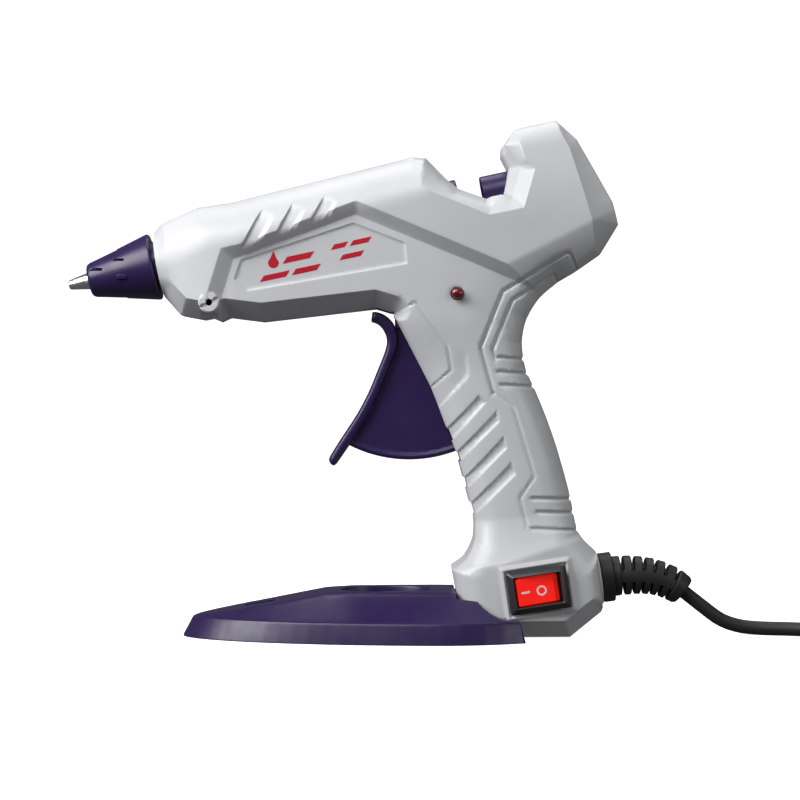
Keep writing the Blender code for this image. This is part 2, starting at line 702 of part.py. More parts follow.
def build_switch(black, red, brass):
    face = -SWITCH_FACE
    body = switch_block("switch_body", 21.0, 15.0, face - 2.4, face - CLEAR, black)
    boolean(body, switch_block("switch_inside", 18.4, 12.3, face - 1.5, -9.0), "UNION")
    boolean(body, switch_block("switch_well", 16.2, 10.4, face - 4.0, -12.5))
    boolean(body, switch_block("switch_lip", 17.6, 11.8, face - 4.0, face - 0.9))
    # The rocker's section across its width: two faces that meet in a shallow valley.
    face = ((-7.3, -22.6), (0.0, -20.9), (7.3, -20.1))
    section = face + ((7.0, -18.0), (2.2, -14.2), (-2.2, -13.4), (-6.4, -17.0))
    verts = []
    for b in (-4.7, 4.7):
        for a, y in section:
            x, z = switch_point(a, b)
            verts.append((x, y, z))
    count = len(section)
    sides = [(i, (i + 1) % count, count + (i + 1) % count, count + i) for i in range(count)]
    faces = sides + [tuple(range(count)), tuple(range(2 * count - 1, count - 1, -1))]
    rocker = add_mesh("switch_rocker", verts, faces, red)
    put_origin(rocker, (SWITCH_CENTRE[0], ROCKER_PIVOT_Y, SWITCH_CENTRE[1]))
    for number, across in enumerate((-5.0, 5.0), start=1):
        switch_block(f"switch_terminal_{number}", 0.8, 4.8, -8.7, -2.6, brass, (across, 0.0))


def build_indicator(lens, board):
    x, z = LED_AT
    profile = [(0, 0), (0, 2.7), (1.2, 2.7), (1.2, 2.05), (4.9, 2.05), (5.9, 1.5), (6.4, 0)]
    turned("led_lens", profile, (x, -13.6, z), (0, -1, 0), lens, 16)
    box("indicator_board", (x - 5, -13.2, z - 4), (x + 6, -12.0, z + 4), board)


def build_wires(material):
    """Two wires from the heater, round the trigger and down the grip to the switch."""
    barrel = [(-28.5, 3.0, 126.2), (-21.0, 8.5, 124.5), (-10.0, 12.2, 125.5), (14.0, 12.3, 126.6)]
    turn = [(32.0, 12.3, 127.4), (47.0, 11.8, 127.0), (54.0, 10.8, 114.0)]
    grip = [(55.0, 9.4, 94.0), (55.5, 9.0, 74.0), (61.5, 8.6, 54.0), (66.0, 7.0, 38.0)]
    for name, side in (("heater_wire_line", -1), ("heater_wire_neutral", 1)):
        points = [Vector((x, side * y, z)) for x, y, z in barrel + turn + grip]
        tube(name, smooth_route(points, 7.0), 0.9, material, 1)


def build_cord_clamp(material):
    box("cord_clamp", (80.6, -6.5, 23.2), (84.6, 6.5, 25.8), material)


def build_inner_cord(material):
    points = [relief_point(-7.9), relief_point(-12), Vector((78.5, 0, 19.2)), Vector((74.5, 0, 20.2))]
    tube("cord_inner_end", smooth_route(points, 4.0), CORD_RADIUS - 0.2, material, 2)


# ---- strain relief, cord and plug ----


def relief_curve(share):
    """Middle of the strain relief, from its flange to where the cord leaves it."""
    start = Vector((RELIEF_START[0], 0, RELIEF_START[1]))
    end = Vector((RELIEF_END[0], 0, RELIEF_END[1]))
    first = start + Vector((math.cos(RELIEF_TILT), 0, math.sin(RELIEF_TILT))) * 13
    last = end - cord_direction() * 9
    rest = 1 - share
    near_start = start * rest**3 + first * 3 * share * rest**2
    return near_start + last * 3 * share**2 * rest + end * share**3


def cord_direction():
    slope = math.radians(-38)
    return Vector((math.cos(slope), 0, math.sin(slope)))


def build_strain_relief(material):
    """A bent ribbed sleeve, made of rings of points across the curve."""
    segments = 16
    profile = [(0.0, 2.75), (0.0, 8.8), (0.13, 8.8), (0.14, 7.0), (0.22, 7.0), (0.235, 4.4)]
    ribs = ((0.30, 6.9), (0.40, 6.7), (0.50, 6.5), (0.60, 6.25), (0.70, 6.0))
    for at, radius in ribs:
        core = 4.4 - 0.4 * at
        profile += [(at - 0.025, core), (at - 0.015, radius), (at + 0.04, radius), (at + 0.05, core)]
    profile += [(0.785, 4.1), (0.8, 5.9), (0.98, 5.5), (1.0, 5.0), (1.0, 2.75)]
    verts = []
    for share, radius in profile:
        centre = relief_curve(share)
        ahead = (relief_curve(min(share + 0.01, 1.0)) - relief_curve(max(share - 0.01, 0.0))).normalized()
        up = Vector((-ahead.z, 0, ahead.x))
        for i in range(segments):
            turn = 2 * math.pi * i / segments
            verts.append(centre + up * radius * math.cos(turn) + Vector((0, radius * math.sin(turn), 0)))
    faces = []
    count = len(profile)
    for ring in range(count):
        following = (ring + 1) % count
        for i in range(segments):
            j = (i + 1) % segments
            here, onward = ring * segments, following * segments
            faces.append((here + i, here + j, onward + j, onward + i))
    relief = add_mesh("strain_relief", verts, faces, material)
    neck = pipe("relief_neck", relief_point(-7.5), relief_point(1.0), 4.2, 2.75, segments=16)
    return boolean(relief, neck, "UNION")


def cord_route():
    """Middle of the free cord, from the strain relief to the coil."""
    end = Vector((RELIEF_END[0], 0, RELIEF_END[1]))
    floor = CORD_RADIUS + 0.05
    down = [end + cord_direction() * along for along in (0.4, 4.0, 8.5)]
    landing = [Vector((134.8, 0.0, 5.7)), Vector((141.5, -0.2, 3.3)), Vector((149.0, -1.0, floor))]
    lying = ((158.0, -3.4), (168.0, -7.4), (178.0, -12.0), (185.0, -14.4), (190.4, -15.0))
    return down + landing + [Vector((x, y, floor)) for x, y in lying]


def build_cord(rubber, tie_material):
    tube("mains_cord", smooth_route(cord_route(), 2.4 * CORD_RADIUS * 2), CORD_RADIUS, rubber, 2)
    middle = (COIL_INNER + COIL_OUTER) / 2
    bevel = 1.5
    profile = [
        (0, COIL_INNER + bevel),
        (0, COIL_OUTER - bevel),
        (bevel, COIL_OUTER),
        (COIL_HEIGHT - bevel, COIL_OUTER),
        (COIL_HEIGHT, COIL_OUTER - bevel),
        (COIL_HEIGHT, COIL_INNER + bevel),
        (COIL_HEIGHT - bevel, COIL_INNER),
        (bevel, COIL_INNER),
    ]
    turned("cord_coil", profile, (*COIL_CENTRE, 0.0), (0, 0, 1), rubber, 40)
    build_tie(middle, tie_material)
    tail = [Vector(p) for p in tail_points()]
    tube("cord_tail", smooth_route(tail, 2.4 * CORD_RADIUS * 2), CORD_RADIUS, rubber, 2)


def build_tie(middle, material):
    """A strap over the coil at its far side, open where the coil lies on the floor."""
    gap, thick, half_strap = 0.6, 1.0, 3.5
    half = (COIL_OUTER - COIL_INNER) / 2 + gap
    x, y = COIL_CENTRE[0], COIL_CENTRE[1] + middle
    top = COIL_HEIGHT + gap
    low = (x - half_strap, y - half - thick, 0)
    high = (x + half_strap, y + half + thick, top + thick)
    inside_strap = box("cord_tie_inside", (x - 10, y - half, -2), (x + 10, y + half, top))
    return boolean(box("cord_tie", low, high, material), inside_strap)


def tail_points():
    """From the coil's top turn up to the plug that lies on the coil."""
    x, y, z = PLUG_BACK
    rising = [(180.6, 6.4, 13.1), (184.2, 2.4, 14.6), (189.0, -0.1, 16.3), (194.0, y, z - 0.1)]
    return rising + [(x - 0.6, y, z)]


def build_plug(rubber, metal):
    """A flat two-pin plug, with its pins towards +X."""
    x, y, z = PLUG_BACK
    side = [(x, y + 5), (x + 8, y + 6.5), (x + 17, y + 13), (x + 34, y + 13)]
    outline = side + [(px, 2 * y - py) for px, py in reversed(side)]
    count = len(outline)
    heights = (z - PLUG_HALF_HEIGHT, z + PLUG_HALF_HEIGHT)
    verts = [(px, py, height) for height in heights for px, py in outline]
    sides = [(i, (i + 1) % count, count + (i + 1) % count, count + i) for i in range(count)]
    faces = sides + [tuple(range(count)), tuple(range(2 * count - 1, count - 1, -1))]
    add_mesh("plug_body", verts, faces, rubber)
    for number, across in enumerate((-PIN_SPACING / 2, PIN_SPACING / 2), start=1):
        rod(f"plug_pin_{number}", (x + 34.3, y + across, z), (x + 53, y + across, z), 2.0, metal)


# ---- stand ----


def stand_half_width(x):
    front = np.clip((STAND_MIDDLE_X - x) / STAND_LENGTH_FRONT, 0, 1)
    back = np.clip((x - STAND_MIDDLE_X) / STAND_LENGTH_REAR, 0, 1)
    return STAND_HALF_WIDTH * (1 - front**1.9) ** (1 / 1.9) - 7.6 * back**2


def stand_outline():
    turns = (88, 81, 73, 64, 54, 43, 31, 17, 0)
    xs = [STAND_MIDDLE_X - STAND_LENGTH_FRONT * math.sin(math.radians(turn)) for turn in turns]
    xs += [STAND_MIDDLE_X + STAND_LENGTH_REAR * share for share in (0.5, 1.0)]
    side = [(x, float(stand_half_width(x))) for x in xs]
    return side + [(x, -y) for x, y in reversed(side)]


def stand_top(x, y, wall_in=0.0):
    side = [point for point in stand_outline() if point[1] > 0]
    other = [(px, -py) for px, py in side]
    edge = np.minimum(distance_to(x, y, side), distance_to(x, y, other))
    slope = 6.5 + 0.66 * np.maximum(edge - wall_in, 0)
    crest = np.interp(x, (-57, -53.3, -25.4, -6, 3), (6.6, 7.1, 12.3, 16.2, STAND_DECK))
    return np.maximum(np.minimum(slope, crest) - wall_in, 2.0)


def build_stand(material):
    outline = stand_outline()

    def place(x, y, z):
        return (x, y, z)

    ridge = [(-25.4, -8.0), (-25.4, 8.0)]
    deck = [(-4.0, -15.0), (3.0, -17.5), (20.0, -18.6), (40.0, -19.0)]
    lines = [ridge, deck, [(x, -y) for x, y in deck]]
    stand = raised_sheet("stand", outline, stand_top, 0.0, 8.0, lines, place, material)

    def inner_top(x, y):
        return stand_top(x, y, 2.4)

    hollow = raised_sheet("stand_hollow", inset_polygon(outline, 2.6), inner_top, -1.0, 9.0, [], place)
    wall_out = SOCKET_HALF_WIDTH + 2.6
    boolean(hollow, box("stand_socket_wall", (36.0, -wall_out, -2), (80, wall_out, 30)))
    boolean(hollow, tray_solid("stand_tray_floor", 18.5, 15.0, 10.6, 30))
    boolean(stand, hollow)
    boolean(stand, tray_solid("stand_tray", 16.3, 12.6, 13.4, 30))
    slot = box("stand_wire_slot", (-34.4, -3.0, 9.3), (-24.0, 3.0, 20.0))
    boolean(stand, slot)
    socket = [(37.9, 30.0), (40.0, 17.0), (43.1, -1.0), (80.0, -1.0), (80.0, 30.0)]
    boolean(stand, prism("stand_socket", socket, -SOCKET_HALF_WIDTH, SOCKET_HALF_WIDTH))
    sweep = [(45.0, 17.5), (46.4, 16.0), (48.9, 12.2), (54.0, 8.7), (62.1, 6.9), (80.0, 6.0)]
    boolean(stand, prism("stand_sweep", [(45.0, 40.0)] + sweep + [(80.0, 40.0)], -60.0, 60.0))
    for side in (-1, 1):
        low, high = sorted((side * (SOCKET_HALF_WIDTH - 1.2), side * (SOCKET_HALF_WIDTH + 1.0)))
        rail = box(f"stand_rail_{side:+d}", (44.5, low, 5.3), (56.0, high, 7.1))
        boolean(stand, rail, "UNION")
    return stand


def tray_solid(name, half_length, half_width, z_from, z_to):
    """An upright oval for the drip tray."""
    count, middle = 28, 15.8
    verts = []
    for z in (z_from, z_to):
        for i in range(count):
            turn = 2 * math.pi * i / count
            verts.append((middle + half_length * math.cos(turn), half_width * math.sin(turn), z))
    sides = [(i, (i + 1) % count, count + (i + 1) % count, count + i) for i in range(count)]
    faces = sides + [tuple(range(count)), tuple(range(2 * count - 1, count - 1, -1))]
    return add_mesh(name, verts, faces)


# ---- fasteners ----


def build_screws(material):
    """Five self-tapping screws, put in from the +Y side."""
    for number, (x, z) in enumerate(SCREWS_AT, start=1):
        head = [(0, 0), (0, 2.5), (1.0, 3.1), (1.9, 3.1)]
        shank = [(1.9, 1.45), (17.0, 1.45), (18.5, 0.3), (18.5, 0)]
        screw = turned(f"case_screw_{number}", head + shank, (x, 11.0, z), (0, -1, 0), material, 12)
        for turn in (0, 90):
            across = (2.0, 0.45) if turn == 0 else (0.45, 2.0)
            low = (x - across[0], 10.2, z - across[1])
            high = (x + across[0], 12.0, z + across[1])
            boolean(screw, box(f"case_screw_{number}_drive_{turn}", low, high))


def build_trigger_pin(material):
    x, z = TRIGGER_PIVOT
    rod("trigger_pin", (x, -13.0, z), (x, 13.0, z), 1.5, material)


def hold_in_empties():
    """Parents every node to an empty at the origin, so that the gun moves as one."""
    root = bpy.data.objects.new("glue_gun", None)
    bpy.context.scene.collection.objects.link(root)
    for obj in bpy.context.scene.objects:
        if obj != root:
            obj.parent = root


def main():
    clear_scene()
    silver = make_material("silver_plastic", (0.62, 0.63, 0.65), 0.42)
    purple = make_material("purple_plastic", (0.028, 0.016, 0.075), 0.4)
    black = make_material("black_plastic", (0.012, 0.012, 0.013), 0.45)
    rubber = make_material("black_rubber", (0.012, 0.012, 0.012), 0.6)
    red = make_material("red_plastic", (0.8, 0.01, 0.01), 0.3)
    lens = make_material("red_lens", (0.2, 0.0, 0.005), 0.1)
    aluminium = make_material("aluminium", (0.75, 0.75, 0.76), 0.35, 1.0)
    steel = make_material("steel", (0.55, 0.55, 0.56), 0.35, 1.0)
    brass = make_material("brass", (0.75, 0.55, 0.22), 0.3, 1.0)
    silicone = make_material("white_silicone", (0.75, 0.74, 0.7), 0.6)
    board = make_material("green_board", (0.02, 0.15, 0.05), 0.5)

    build_casing("casing_left", -1, silver)
    build_casing("casing_right", 1, silver)
    build_nozzle(aluminium)
    build_nozzle_cover(purple)
    build_melt_chamber(aluminium)
    axis_block("ptc_heater", (-48.0, -28.0), (-10.6, -8.5), -5.0, 5.0, silicone)
    build_heater_clip(steel)
    build_inlet_sleeve(silicone)
    pipe("sleeve_clamp", on_axis(-18.6), on_axis(-15.4), 8.95, 8.3, steel)
    build_carriage(purple)
    build_gripper(steel)
    axis_rod("gripper_pin", GRIPPER_PIVOT, 6.2, 0.85, steel)
    build_guide_tube(purple)
    build_trigger(purple)
    build_trigger_pin(steel)
    build_return_spring(steel)
    build_switch(black, red, brass)
    build_indicator(lens, board)
    build_wires(red)
    build_cord_clamp(black)
    build_inner_cord(rubber)
    build_strain_relief(rubber)
    build_cord(rubber, black)
    build_plug(rubber, brass)
    build_screws(steel)
    build_stand(purple)
    hold_in_empties()


main()
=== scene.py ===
"""Looks of the hot-melt glue gun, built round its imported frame.

The nozzle points to -X, the switch side faces -Y and +Z is up. Sizes are in millimetres unless a
name ends in _m; meshes are made in metres. Side -1 is the switch half and +1 the screw half.
"""

import json
import math

import bmesh
import bpy
import numpy as np
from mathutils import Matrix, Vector
from mathutils.geometry import delaunay_2d_cdt


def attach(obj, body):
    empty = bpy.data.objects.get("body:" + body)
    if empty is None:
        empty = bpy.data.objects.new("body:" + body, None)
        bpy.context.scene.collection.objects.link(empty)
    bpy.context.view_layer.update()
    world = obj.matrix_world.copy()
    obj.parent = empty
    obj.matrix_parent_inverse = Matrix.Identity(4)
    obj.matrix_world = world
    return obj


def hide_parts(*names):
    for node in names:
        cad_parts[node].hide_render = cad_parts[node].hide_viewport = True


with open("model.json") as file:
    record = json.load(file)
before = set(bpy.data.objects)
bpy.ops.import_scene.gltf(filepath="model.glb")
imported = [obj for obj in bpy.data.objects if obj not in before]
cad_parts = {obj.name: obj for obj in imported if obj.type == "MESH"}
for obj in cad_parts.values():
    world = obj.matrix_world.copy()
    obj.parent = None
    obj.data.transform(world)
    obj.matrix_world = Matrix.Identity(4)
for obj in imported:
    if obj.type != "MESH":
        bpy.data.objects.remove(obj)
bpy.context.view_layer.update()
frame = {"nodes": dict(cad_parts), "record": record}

MM = 0.001
WALL = 2.2
SEAM = 0.15

AXIS_TILT = math.radians(12.2)
AXIS_POINT = Vector((-0.65, 0.0, 145.8))
ALONG = Vector((math.cos(AXIS_TILT), 0.0, math.sin(AXIS_TILT)))
ACROSS = Vector((-math.sin(AXIS_TILT), 0.0, math.cos(AXIS_TILT)))

TRIGGER_PIVOT = (23.8, 109.6)
SWITCH_CENTRE = (68.7, 17.9)
SWITCH_TILT = math.radians(8.4)
SWITCH_COS, SWITCH_SIN = math.cos(SWITCH_TILT), math.sin(SWITCH_TILT)
LED_AT = (40.6, 121.1)
REST_EYE_AT = (-46.0, 118.0)
SCREWS_AT = ((-30.0, 118.6), (12.0, 162.6), (86.0, 147.0), (65.0, 79.0), (54.0, 38.0))
RELIEF_TILT = math.radians(7.8)
RELIEF_START = (94.3, 20.7)
RELIEF_END = (121.6, 0.0, 15.7)
CORD_EXIT = Vector((math.cos(math.radians(-38)), 0.0, math.sin(math.radians(-38))))
CORD_RADIUS = 2.5
COIL_CENTRE = (210.0, 20.0)
COIL_RADIUS = 35.1  # where the outermost turn starts
COIL_PITCH = 5.1  # from one turn of the lower layer to the next
COIL_STEPS = 40  # points in each turn
PLUG_BACK = Vector((198.0, -1.0, 17.4))
ROCKER_FACE = ((-7.6, -22.7), (-0.6, -20.9), (5.6, -20.3))
ON_MARK = (-4.57, -0.13)
OFF_MARK = (1.07, -0.31)
WEB_RADIUS = 46.8  # curved rim of the trigger's web, from the pivot
CARRIAGE_PIN_AT = 22.7  # along the barrel axis
STAND_MIDDLE = 35.0  # where the stand is widest
STAND_FRONT = 91.7
STAND_BACK = 29.1
STAND_HALF_WIDTH = 34.4
STAND_ROUNDNESS = 1.9
STAND_TAPER = 7.6
SKIRT_HEIGHT = 6.5
SKIRT_LEAN = (3.2, 1.8)  # how far the stand's skirt leans in at its tip and at its sides

GRAIN_DEPTH_M = 0.00005
CAMERA_AT_M = (0.0206, -0.75, 0.0839)
CAMERA_LENS = 94.5
LIGHT_AIM_M = (0.02, 0.0, 0.09)
FLOOR_GLOW = 0.9
AMBIENT = 0.10
LIGHTS = (  # name, place, size and power, in metres and watts
    ("key", (-0.68, -0.42, 0.56), (0.55, 0.55), 9.0),
    ("front", (-0.3, -0.8, 0.95), (0.7, 0.5), 5.5),
    ("top", (0.1, 0.3, 1.2), (0.9, 0.7), 5.5),
    ("fill", (0.9, -0.6, 0.3), (0.4, 0.4), 1.5),
)

# ---- casing outline on the middle plane, in runs, clockwise from the nose ----
# Each run: its points (x, z), whether it is a smooth curve, and its edge profile, which is
# (distance in, share of the full half width) pairs, or (reach, first share) of a round edge.
OUTLINE = {
    "nose_face": (((-63.0, 120.3), (-67.3, 143.4)), False, ((0, 0.95), (1, 1.0))),
    "nose_top": (((-67.3, 143.4), (-64.6, 146.7)), False, ((0, 0.7), (3, 1.0))),
    "top": (((-64.6, 146.7), (-50.9, 152.5), (-39.8, 154.0), (22.9, 169.7)), False, (17.0, 0.14)),
    "back_slope": (
        ((22.9, 169.7), (29.7, 169.2), (36.8, 161.9), (41.4, 158.3), (51.2, 154.9)),
        False,
        ((0, 0.45), (1.5, 0.7), (4, 1.0)),
    ),
    "notch": (((51.2, 154.9), (57.0, 156.2)), False, ((0, 0.68), (1.0, 0.8), (4, 1.0))),
    "hook_front": (
        ((57.0, 156.2), (59.0, 165.7), (56.5, 170.5), (56.5, 173.1), (61.2, 179.8)),
        False,
        (1.5, 0.3),
    ),
    "hook_top": (((61.2, 179.8), (75.8, 183.1)), False, (8.0, 0.5)),
    "hook_back": (((75.8, 183.1), (83.2, 176.2), (95.7, 153.7), (97.8, 146.0)), False, (1.0, 0.5)),
    "hook_under": (((97.8, 146.0), (91.4, 135.3), (83.5, 129.8), (77.0, 126.0)), False, (3.0, 0.62)),
    "grip_back": (
        (
            (77.0, 126.0), (69.9, 119.8), (65.3, 112.2), (63.8, 104.3), (65.0, 95.3), (68.9, 86.4),
            (73.7, 74.2), (77.6, 62.0), (80.9, 49.5), (83.6, 37.3), (89.9, 30.3),
        ),
        True,
        (10.0, 0.4),
    ),
    "foot_back": (((89.9, 30.3), (92.0, 11.0), (91.6, 9.2)), False, (6.0, 0.7)),
    "foot_under": (((91.6, 9.2), (80.5, 0.4), (43.5, 0.4)), False, ((0, 0.55), (6.5, 1.0))),
    "foot_front": (((43.5, 0.4), (38.9, 24.3)), False, (9.0, 0.6)),
    "grip_front": (
        (
            (38.9, 24.3), (43.6, 27.8), (46.7, 34.3), (46.9, 41.5), (44.9, 49.0), (43.0, 56.5),
            (40.6, 65.0), (36.8, 74.5), (31.7, 87.8), (24.9, 101.2), (18.0, 114.5),
        ),
        True,
        (8.0, 0.6),
    ),
    "barrel_under": (
        (
            (18.0, 114.5), (11.6, 116.4), (-28.0, 111.8), (-40.0, 113.3), (-43.2, 111.8),
            (-46.3, 113.1), (-49.4, 112.5), (-56.9, 113.9), (-63.0, 120.3),
        ),
        False,
        ((0, 0.45), (6.0, 1.0)),
    ),
}

# Half widths of the casing.
NOSE_HALF, BARREL_WIDENING = 12.6, 8.9  # at the nose, and how much wider the barrel gets
PANEL_HALF = 17.7
GRIP_HALF, GRIP_FLARE = 15.3, 4.5  # the grip's lower part, and how much it widens towards the foot
FOOT_HALF = 20.1
NOSE_ROUNDING = 12.0  # depth over which the nose's section curves out to its full width
NOSE_BLEND = (-66.0, 11.0)  # where the round nose starts to give way to facets, and over what length
NOSE_RING_SLOPE = 0.16  # how fast the nose narrows ahead of its crease
BEVEL_SHARE, HOOK_FACET_SHARE, REAR_SHARE = 0.74, 0.42, 0.66  # of the half width, at the outer edges

# Details of the casing's surface.
PANEL_DEPTH = 0.55
GROOVE_REACH, GROOVE_DEPTH = 0.8, 0.95  # half width and depth
FINE_GROOVE_REACH, FINE_GROOVE_DEPTH = 0.6, 0.6
RECESS_EDGE, RECESS_DEPTH = 0.6, 0.85  # width of the sloping edge, and depth
RIDGE_REACH = 0.7
LIP_SIZE = (23.4, 17.4)  # the raised surround of the switch
POCKET_SIZE = (21.7, 15.7)  # the opening inside it
LABEL_DROP = (-23.6, 131.8, 1.9)
LABEL_BARS = (  # lower left corner, length and thickness
    (-20.4, 131.4, 9.8, 2.9),
    (-28.4, 125.0, 9.4, 2.7),
    (-17.2, 127.4, 9.0, 2.7),
    (-3.6, 136.2, 5.0, 2.4),
    (3.0, 137.6, 6.6, 2.4),
    (-0.6, 132.6, 7.6, 2.4),
)

# Lower edge of the proud upper body: segments and how far its sloping band reaches below.
BODY_STEP = ((-47.5, 105.0), (-46.6, 121.2), (-41.7, 136.7), (-33.7, 138.5), (5.2, 153.2), (58.1, 131.3))
BODY_STEP += ((110.0, 158.0),)
BODY_STEP_BANDS = (5.0, 5.0, 4.3, 4.2, 4.0, 13.0)
BAND_FOOT = ((-42.4, 113.5), (-41.5, 120.3), (-37.4, 133.2), (4.9, 148.6), (66.0, 123.7))
BAND_MITRE = ((58.3, 131.0), (66.8, 124.3))
LABEL_PANEL = ((-37.4, 126.0), (-35.1, 132.8), (4.3, 145.8), (22.5, 138.8), (23.2, 131.4), (-32.9, 121.8))
SCOOPS = (((-34.2, 138.1), 14.5), ((-22.2, 142.5), 11.6), ((-10.7, 146.1), 10.6))  # lower corner, length
SCOOP_LEAN = math.radians(27.4)
SCOOP_WIDTH, SCOOP_SLOPE, SCOOP_DEPTH = 3.9, 1.7, 1.1  # flat part, slope beside it, and depth
NOSE_CREASE = ((-62.6, 147.0), (-63.0, 145.0), (-61.8, 136.3), (-60.4, 127.5), (-58.8, 121.2), (-57.5, 115.0))
COLLAR_SLOPE = 0.128
COLLAR_START = (38.9, 24.4)
FLARE_HEIGHT = 15.5

# The bevel round the notch and the hook: its outer and inner edge, and the hook's front facet.
HOOK_FACET_OUTER = OUTLINE["hook_front"][0]
HOOK_FACET_INNER = ((59.9, 155.4), (62.4, 163.9), (63.4, 165.8), (57.8, 173.6), (61.2, 179.8))
BEVEL_OUTER = OUTLINE["back_slope"][0] + OUTLINE["notch"][0][1:] + HOOK_FACET_INNER
BEVEL_INNER = ((22.0, 163.6), (27.5, 157.9), (51.7, 148.3), (63.8, 150.9))
BEVEL_INNER += ((67.8, 164.8), (64.5, 167.8), (62.7, 174.4), (66.0, 181.2))
REAR_OUTER = OUTLINE["hook_back"][0] + ((91.4, 135.3),)
REAR_INNER = ((75.2, 181.6), (80.1, 172.3), (85.2, 155.5), (87.6, 147.3), (89.7, 135.1))

GROOVES = (
    ((83.5, 128.6), (80.6, 135.0), (78.6, 135.3), (56.6, 121.9), (48.8, 102.2), (53.2, 86.4)),
    ((76.6, 124.7), (74.8, 128.2), (60.0, 118.9), (52.9, 101.5), (53.9, 98.5)),
    ((54.9, 98.8), (65.5, 98.2)),
    ((54.9, 93.8), (66.5, 93.1)),
    ((56.2, 89.1), (69.0, 88.6)),
    ((66.9, 49.4), (82.5, 49.0)),
    ((68.6, 44.6), (83.5, 44.2)),
    ((66.9, 38.9), (84.5, 38.1)),
)
FINE_GROOVES = (
    ((53.2, 86.4), (60.2, 81.4), (67.6, 57.0), (62.5, 49.6), (65.2, 39.3)),
    ((16.5, 113.6), (26.1, 118.0), (37.1, 102.8), (38.5, 94.4), (29.5, 86.5)),
)
RIDGE = ((43.8, 101.4), (44.8, 92.4), (32.0, 78.2))
# Each grip recess: its upper edge and its lower edge, both from the inner end to past the front.
RECESSES = (
    (((48.2, 85.7), (31.0, 67.6)), ((50.9, 83.1), (35.0, 65.4))),
    (((54.6, 80.4), (36.0, 60.9)), ((55.6, 76.3), (38.0, 58.8))),
    (((56.9, 71.3), (38.0, 51.1)), ((58.2, 67.0), (40.0, 48.4))),
    (((59.6, 62.3), (41.0, 43.0)), ((61.3, 57.9), (43.0, 39.5))),
)
OUTLINE_NOTCHES = ((64.1, 98.3), (65.6, 93.2), (67.9, 88.7), (81.1, 49.0), (82.1, 44.3), (83.6, 38.2))

# ---- plane geometry ----


def distance_to(x, z, points):
    """Distance from each (x, z) to an open run of segments."""
    best = np.full(np.shape(x), np.inf)
    for (ax, az), (bx, bz) in zip(points, points[1:]):
        dx, dz = bx - ax, bz - az
        along = np.clip(((x - ax) * dx + (z - az) * dz) / (dx * dx + dz * dz), 0, 1)
        best = np.minimum(best, np.hypot(x - ax - along * dx, z - az - along * dz))
    return best


def inside(x, z, polygon):
    """Whether each (x, z) is inside a closed polygon."""
    odd = np.zeros(np.shape(x), bool)
    for (ax, az), (bx, bz) in zip(polygon, polygon[1:] + polygon[:1]):
        if az == bz:
            continue
        odd ^= ((az > z) != (bz > z)) & (x < (bx - ax) * (z - az) / (bz - az) + ax)
    return odd


def signed_distance(x, z, polygon):
    """Distance to a closed polygon's edge, negative inside it."""
    away = distance_to(x, z, polygon + polygon[:1])
    return np.where(inside(x, z, polygon), -away, away)


def strip(first, second):
    """The polygon between two runs of points that go the same way."""
    return list(first) + list(reversed(second))


def resampled(points, spacing, closed=False):
    """The same run of segments with extra points, none further apart than the spacing."""
    ends = points[1:] + points[:1] if closed else points[1:]
    result = []
    for (ax, az), (bx, bz) in zip(points, ends):
        steps = max(1, math.ceil(math.hypot(bx - ax, bz - az) / spacing))
        result += [(ax + (bx - ax) * i / steps, az + (bz - az) * i / steps) for i in range(steps)]
    return result if closed else result + [tuple(points[-1])]


def side_run(points, offset):
    """A run of segments moved sideways, with its corners mitred."""
    moved = []
    last = len(points) - 1
    for i, (x, z) in enumerate(points):
        before = Vector(points[max(i - 1, 0)])
        after = Vector(points[min(i + 1, last)])
        here = Vector((x, z))
        first = (here - before).normalized() if i > 0 else (after - here).normalized()
        second = (after - here).normalized() if i < last else first
        normal = Vector((-first.y - second.y, first.x + second.x)).normalized()
        spread = max(0.5, normal.dot(Vector((-second.y, second.x))))
        moved.append((x + normal.x * offset / spread, z + normal.y * offset / spread))
    return moved


def inset_ring(polygon, inset):
    """A closed polygon moved inwards, without the points that would land too near its edge."""
    area = sum(ax * bz - bx * az for (ax, az), (bx, bz) in zip(polygon, polygon[1:] + polygon[:1]))
    closed = polygon[-1:] + polygon + polygon[:1]
    moved = side_run(closed, inset if area > 0 else -inset)[1:-1]
    xs, zs = np.array(moved).T
    keep = inside(xs, zs, polygon) & (distance_to(xs, zs, polygon + polygon[:1]) > inset * 0.93)
    return [point for point, kept in zip(moved, keep) if kept]


def smooth_route(points, spacing):
    """Points on a smooth curve through the given ones, evenly spaced."""
    points = [Vector(p) for p in points]
    ends = [points[0] * 2 - points[1]] + points + [points[-1] * 2 - points[-2]]
    dense = []
    for a, b, c, d in zip(ends, ends[1:], ends[2:], ends[3:]):
        for i in range(20):
            t = i / 20
            linear = (c - a) * t
            square = (2 * a - 5 * b + 4 * c - d) * t * t
            cube = (3 * b - a - 3 * c + d) * t * t * t
            dense.append(b + 0.5 * (linear + square + cube))
    dense.append(points[-1])
    travelled = np.cumsum([0] + [(q - p).length for p, q in zip(dense, dense[1:])])
    count = max(2, round(travelled[-1] / spacing))
    wanted = np.linspace(0, travelled[-1], count + 1)
    axes = [np.interp(wanted, travelled, [p[i] for p in dense]) for i in range(len(points[0]))]
    return [Vector(p) for p in zip(*axes)]


def soft_ramp(distance, width, fillet=0.12):
    """1 before an edge and 0 a width past it, with both of its corners rounded."""

    def area(d):
        part = np.clip(d, 0, width)
        return np.minimum(d, 0) + part - part**2 / (2 * width)

    return (area(distance + fillet) - area(distance - fillet)) / (2 * fillet)


def smooth_step(t):
    """0 below 0 and 1 above 1, with a smooth climb between."""
    t = np.clip(t, 0, 1)
    return t * t * (3 - 2 * t)


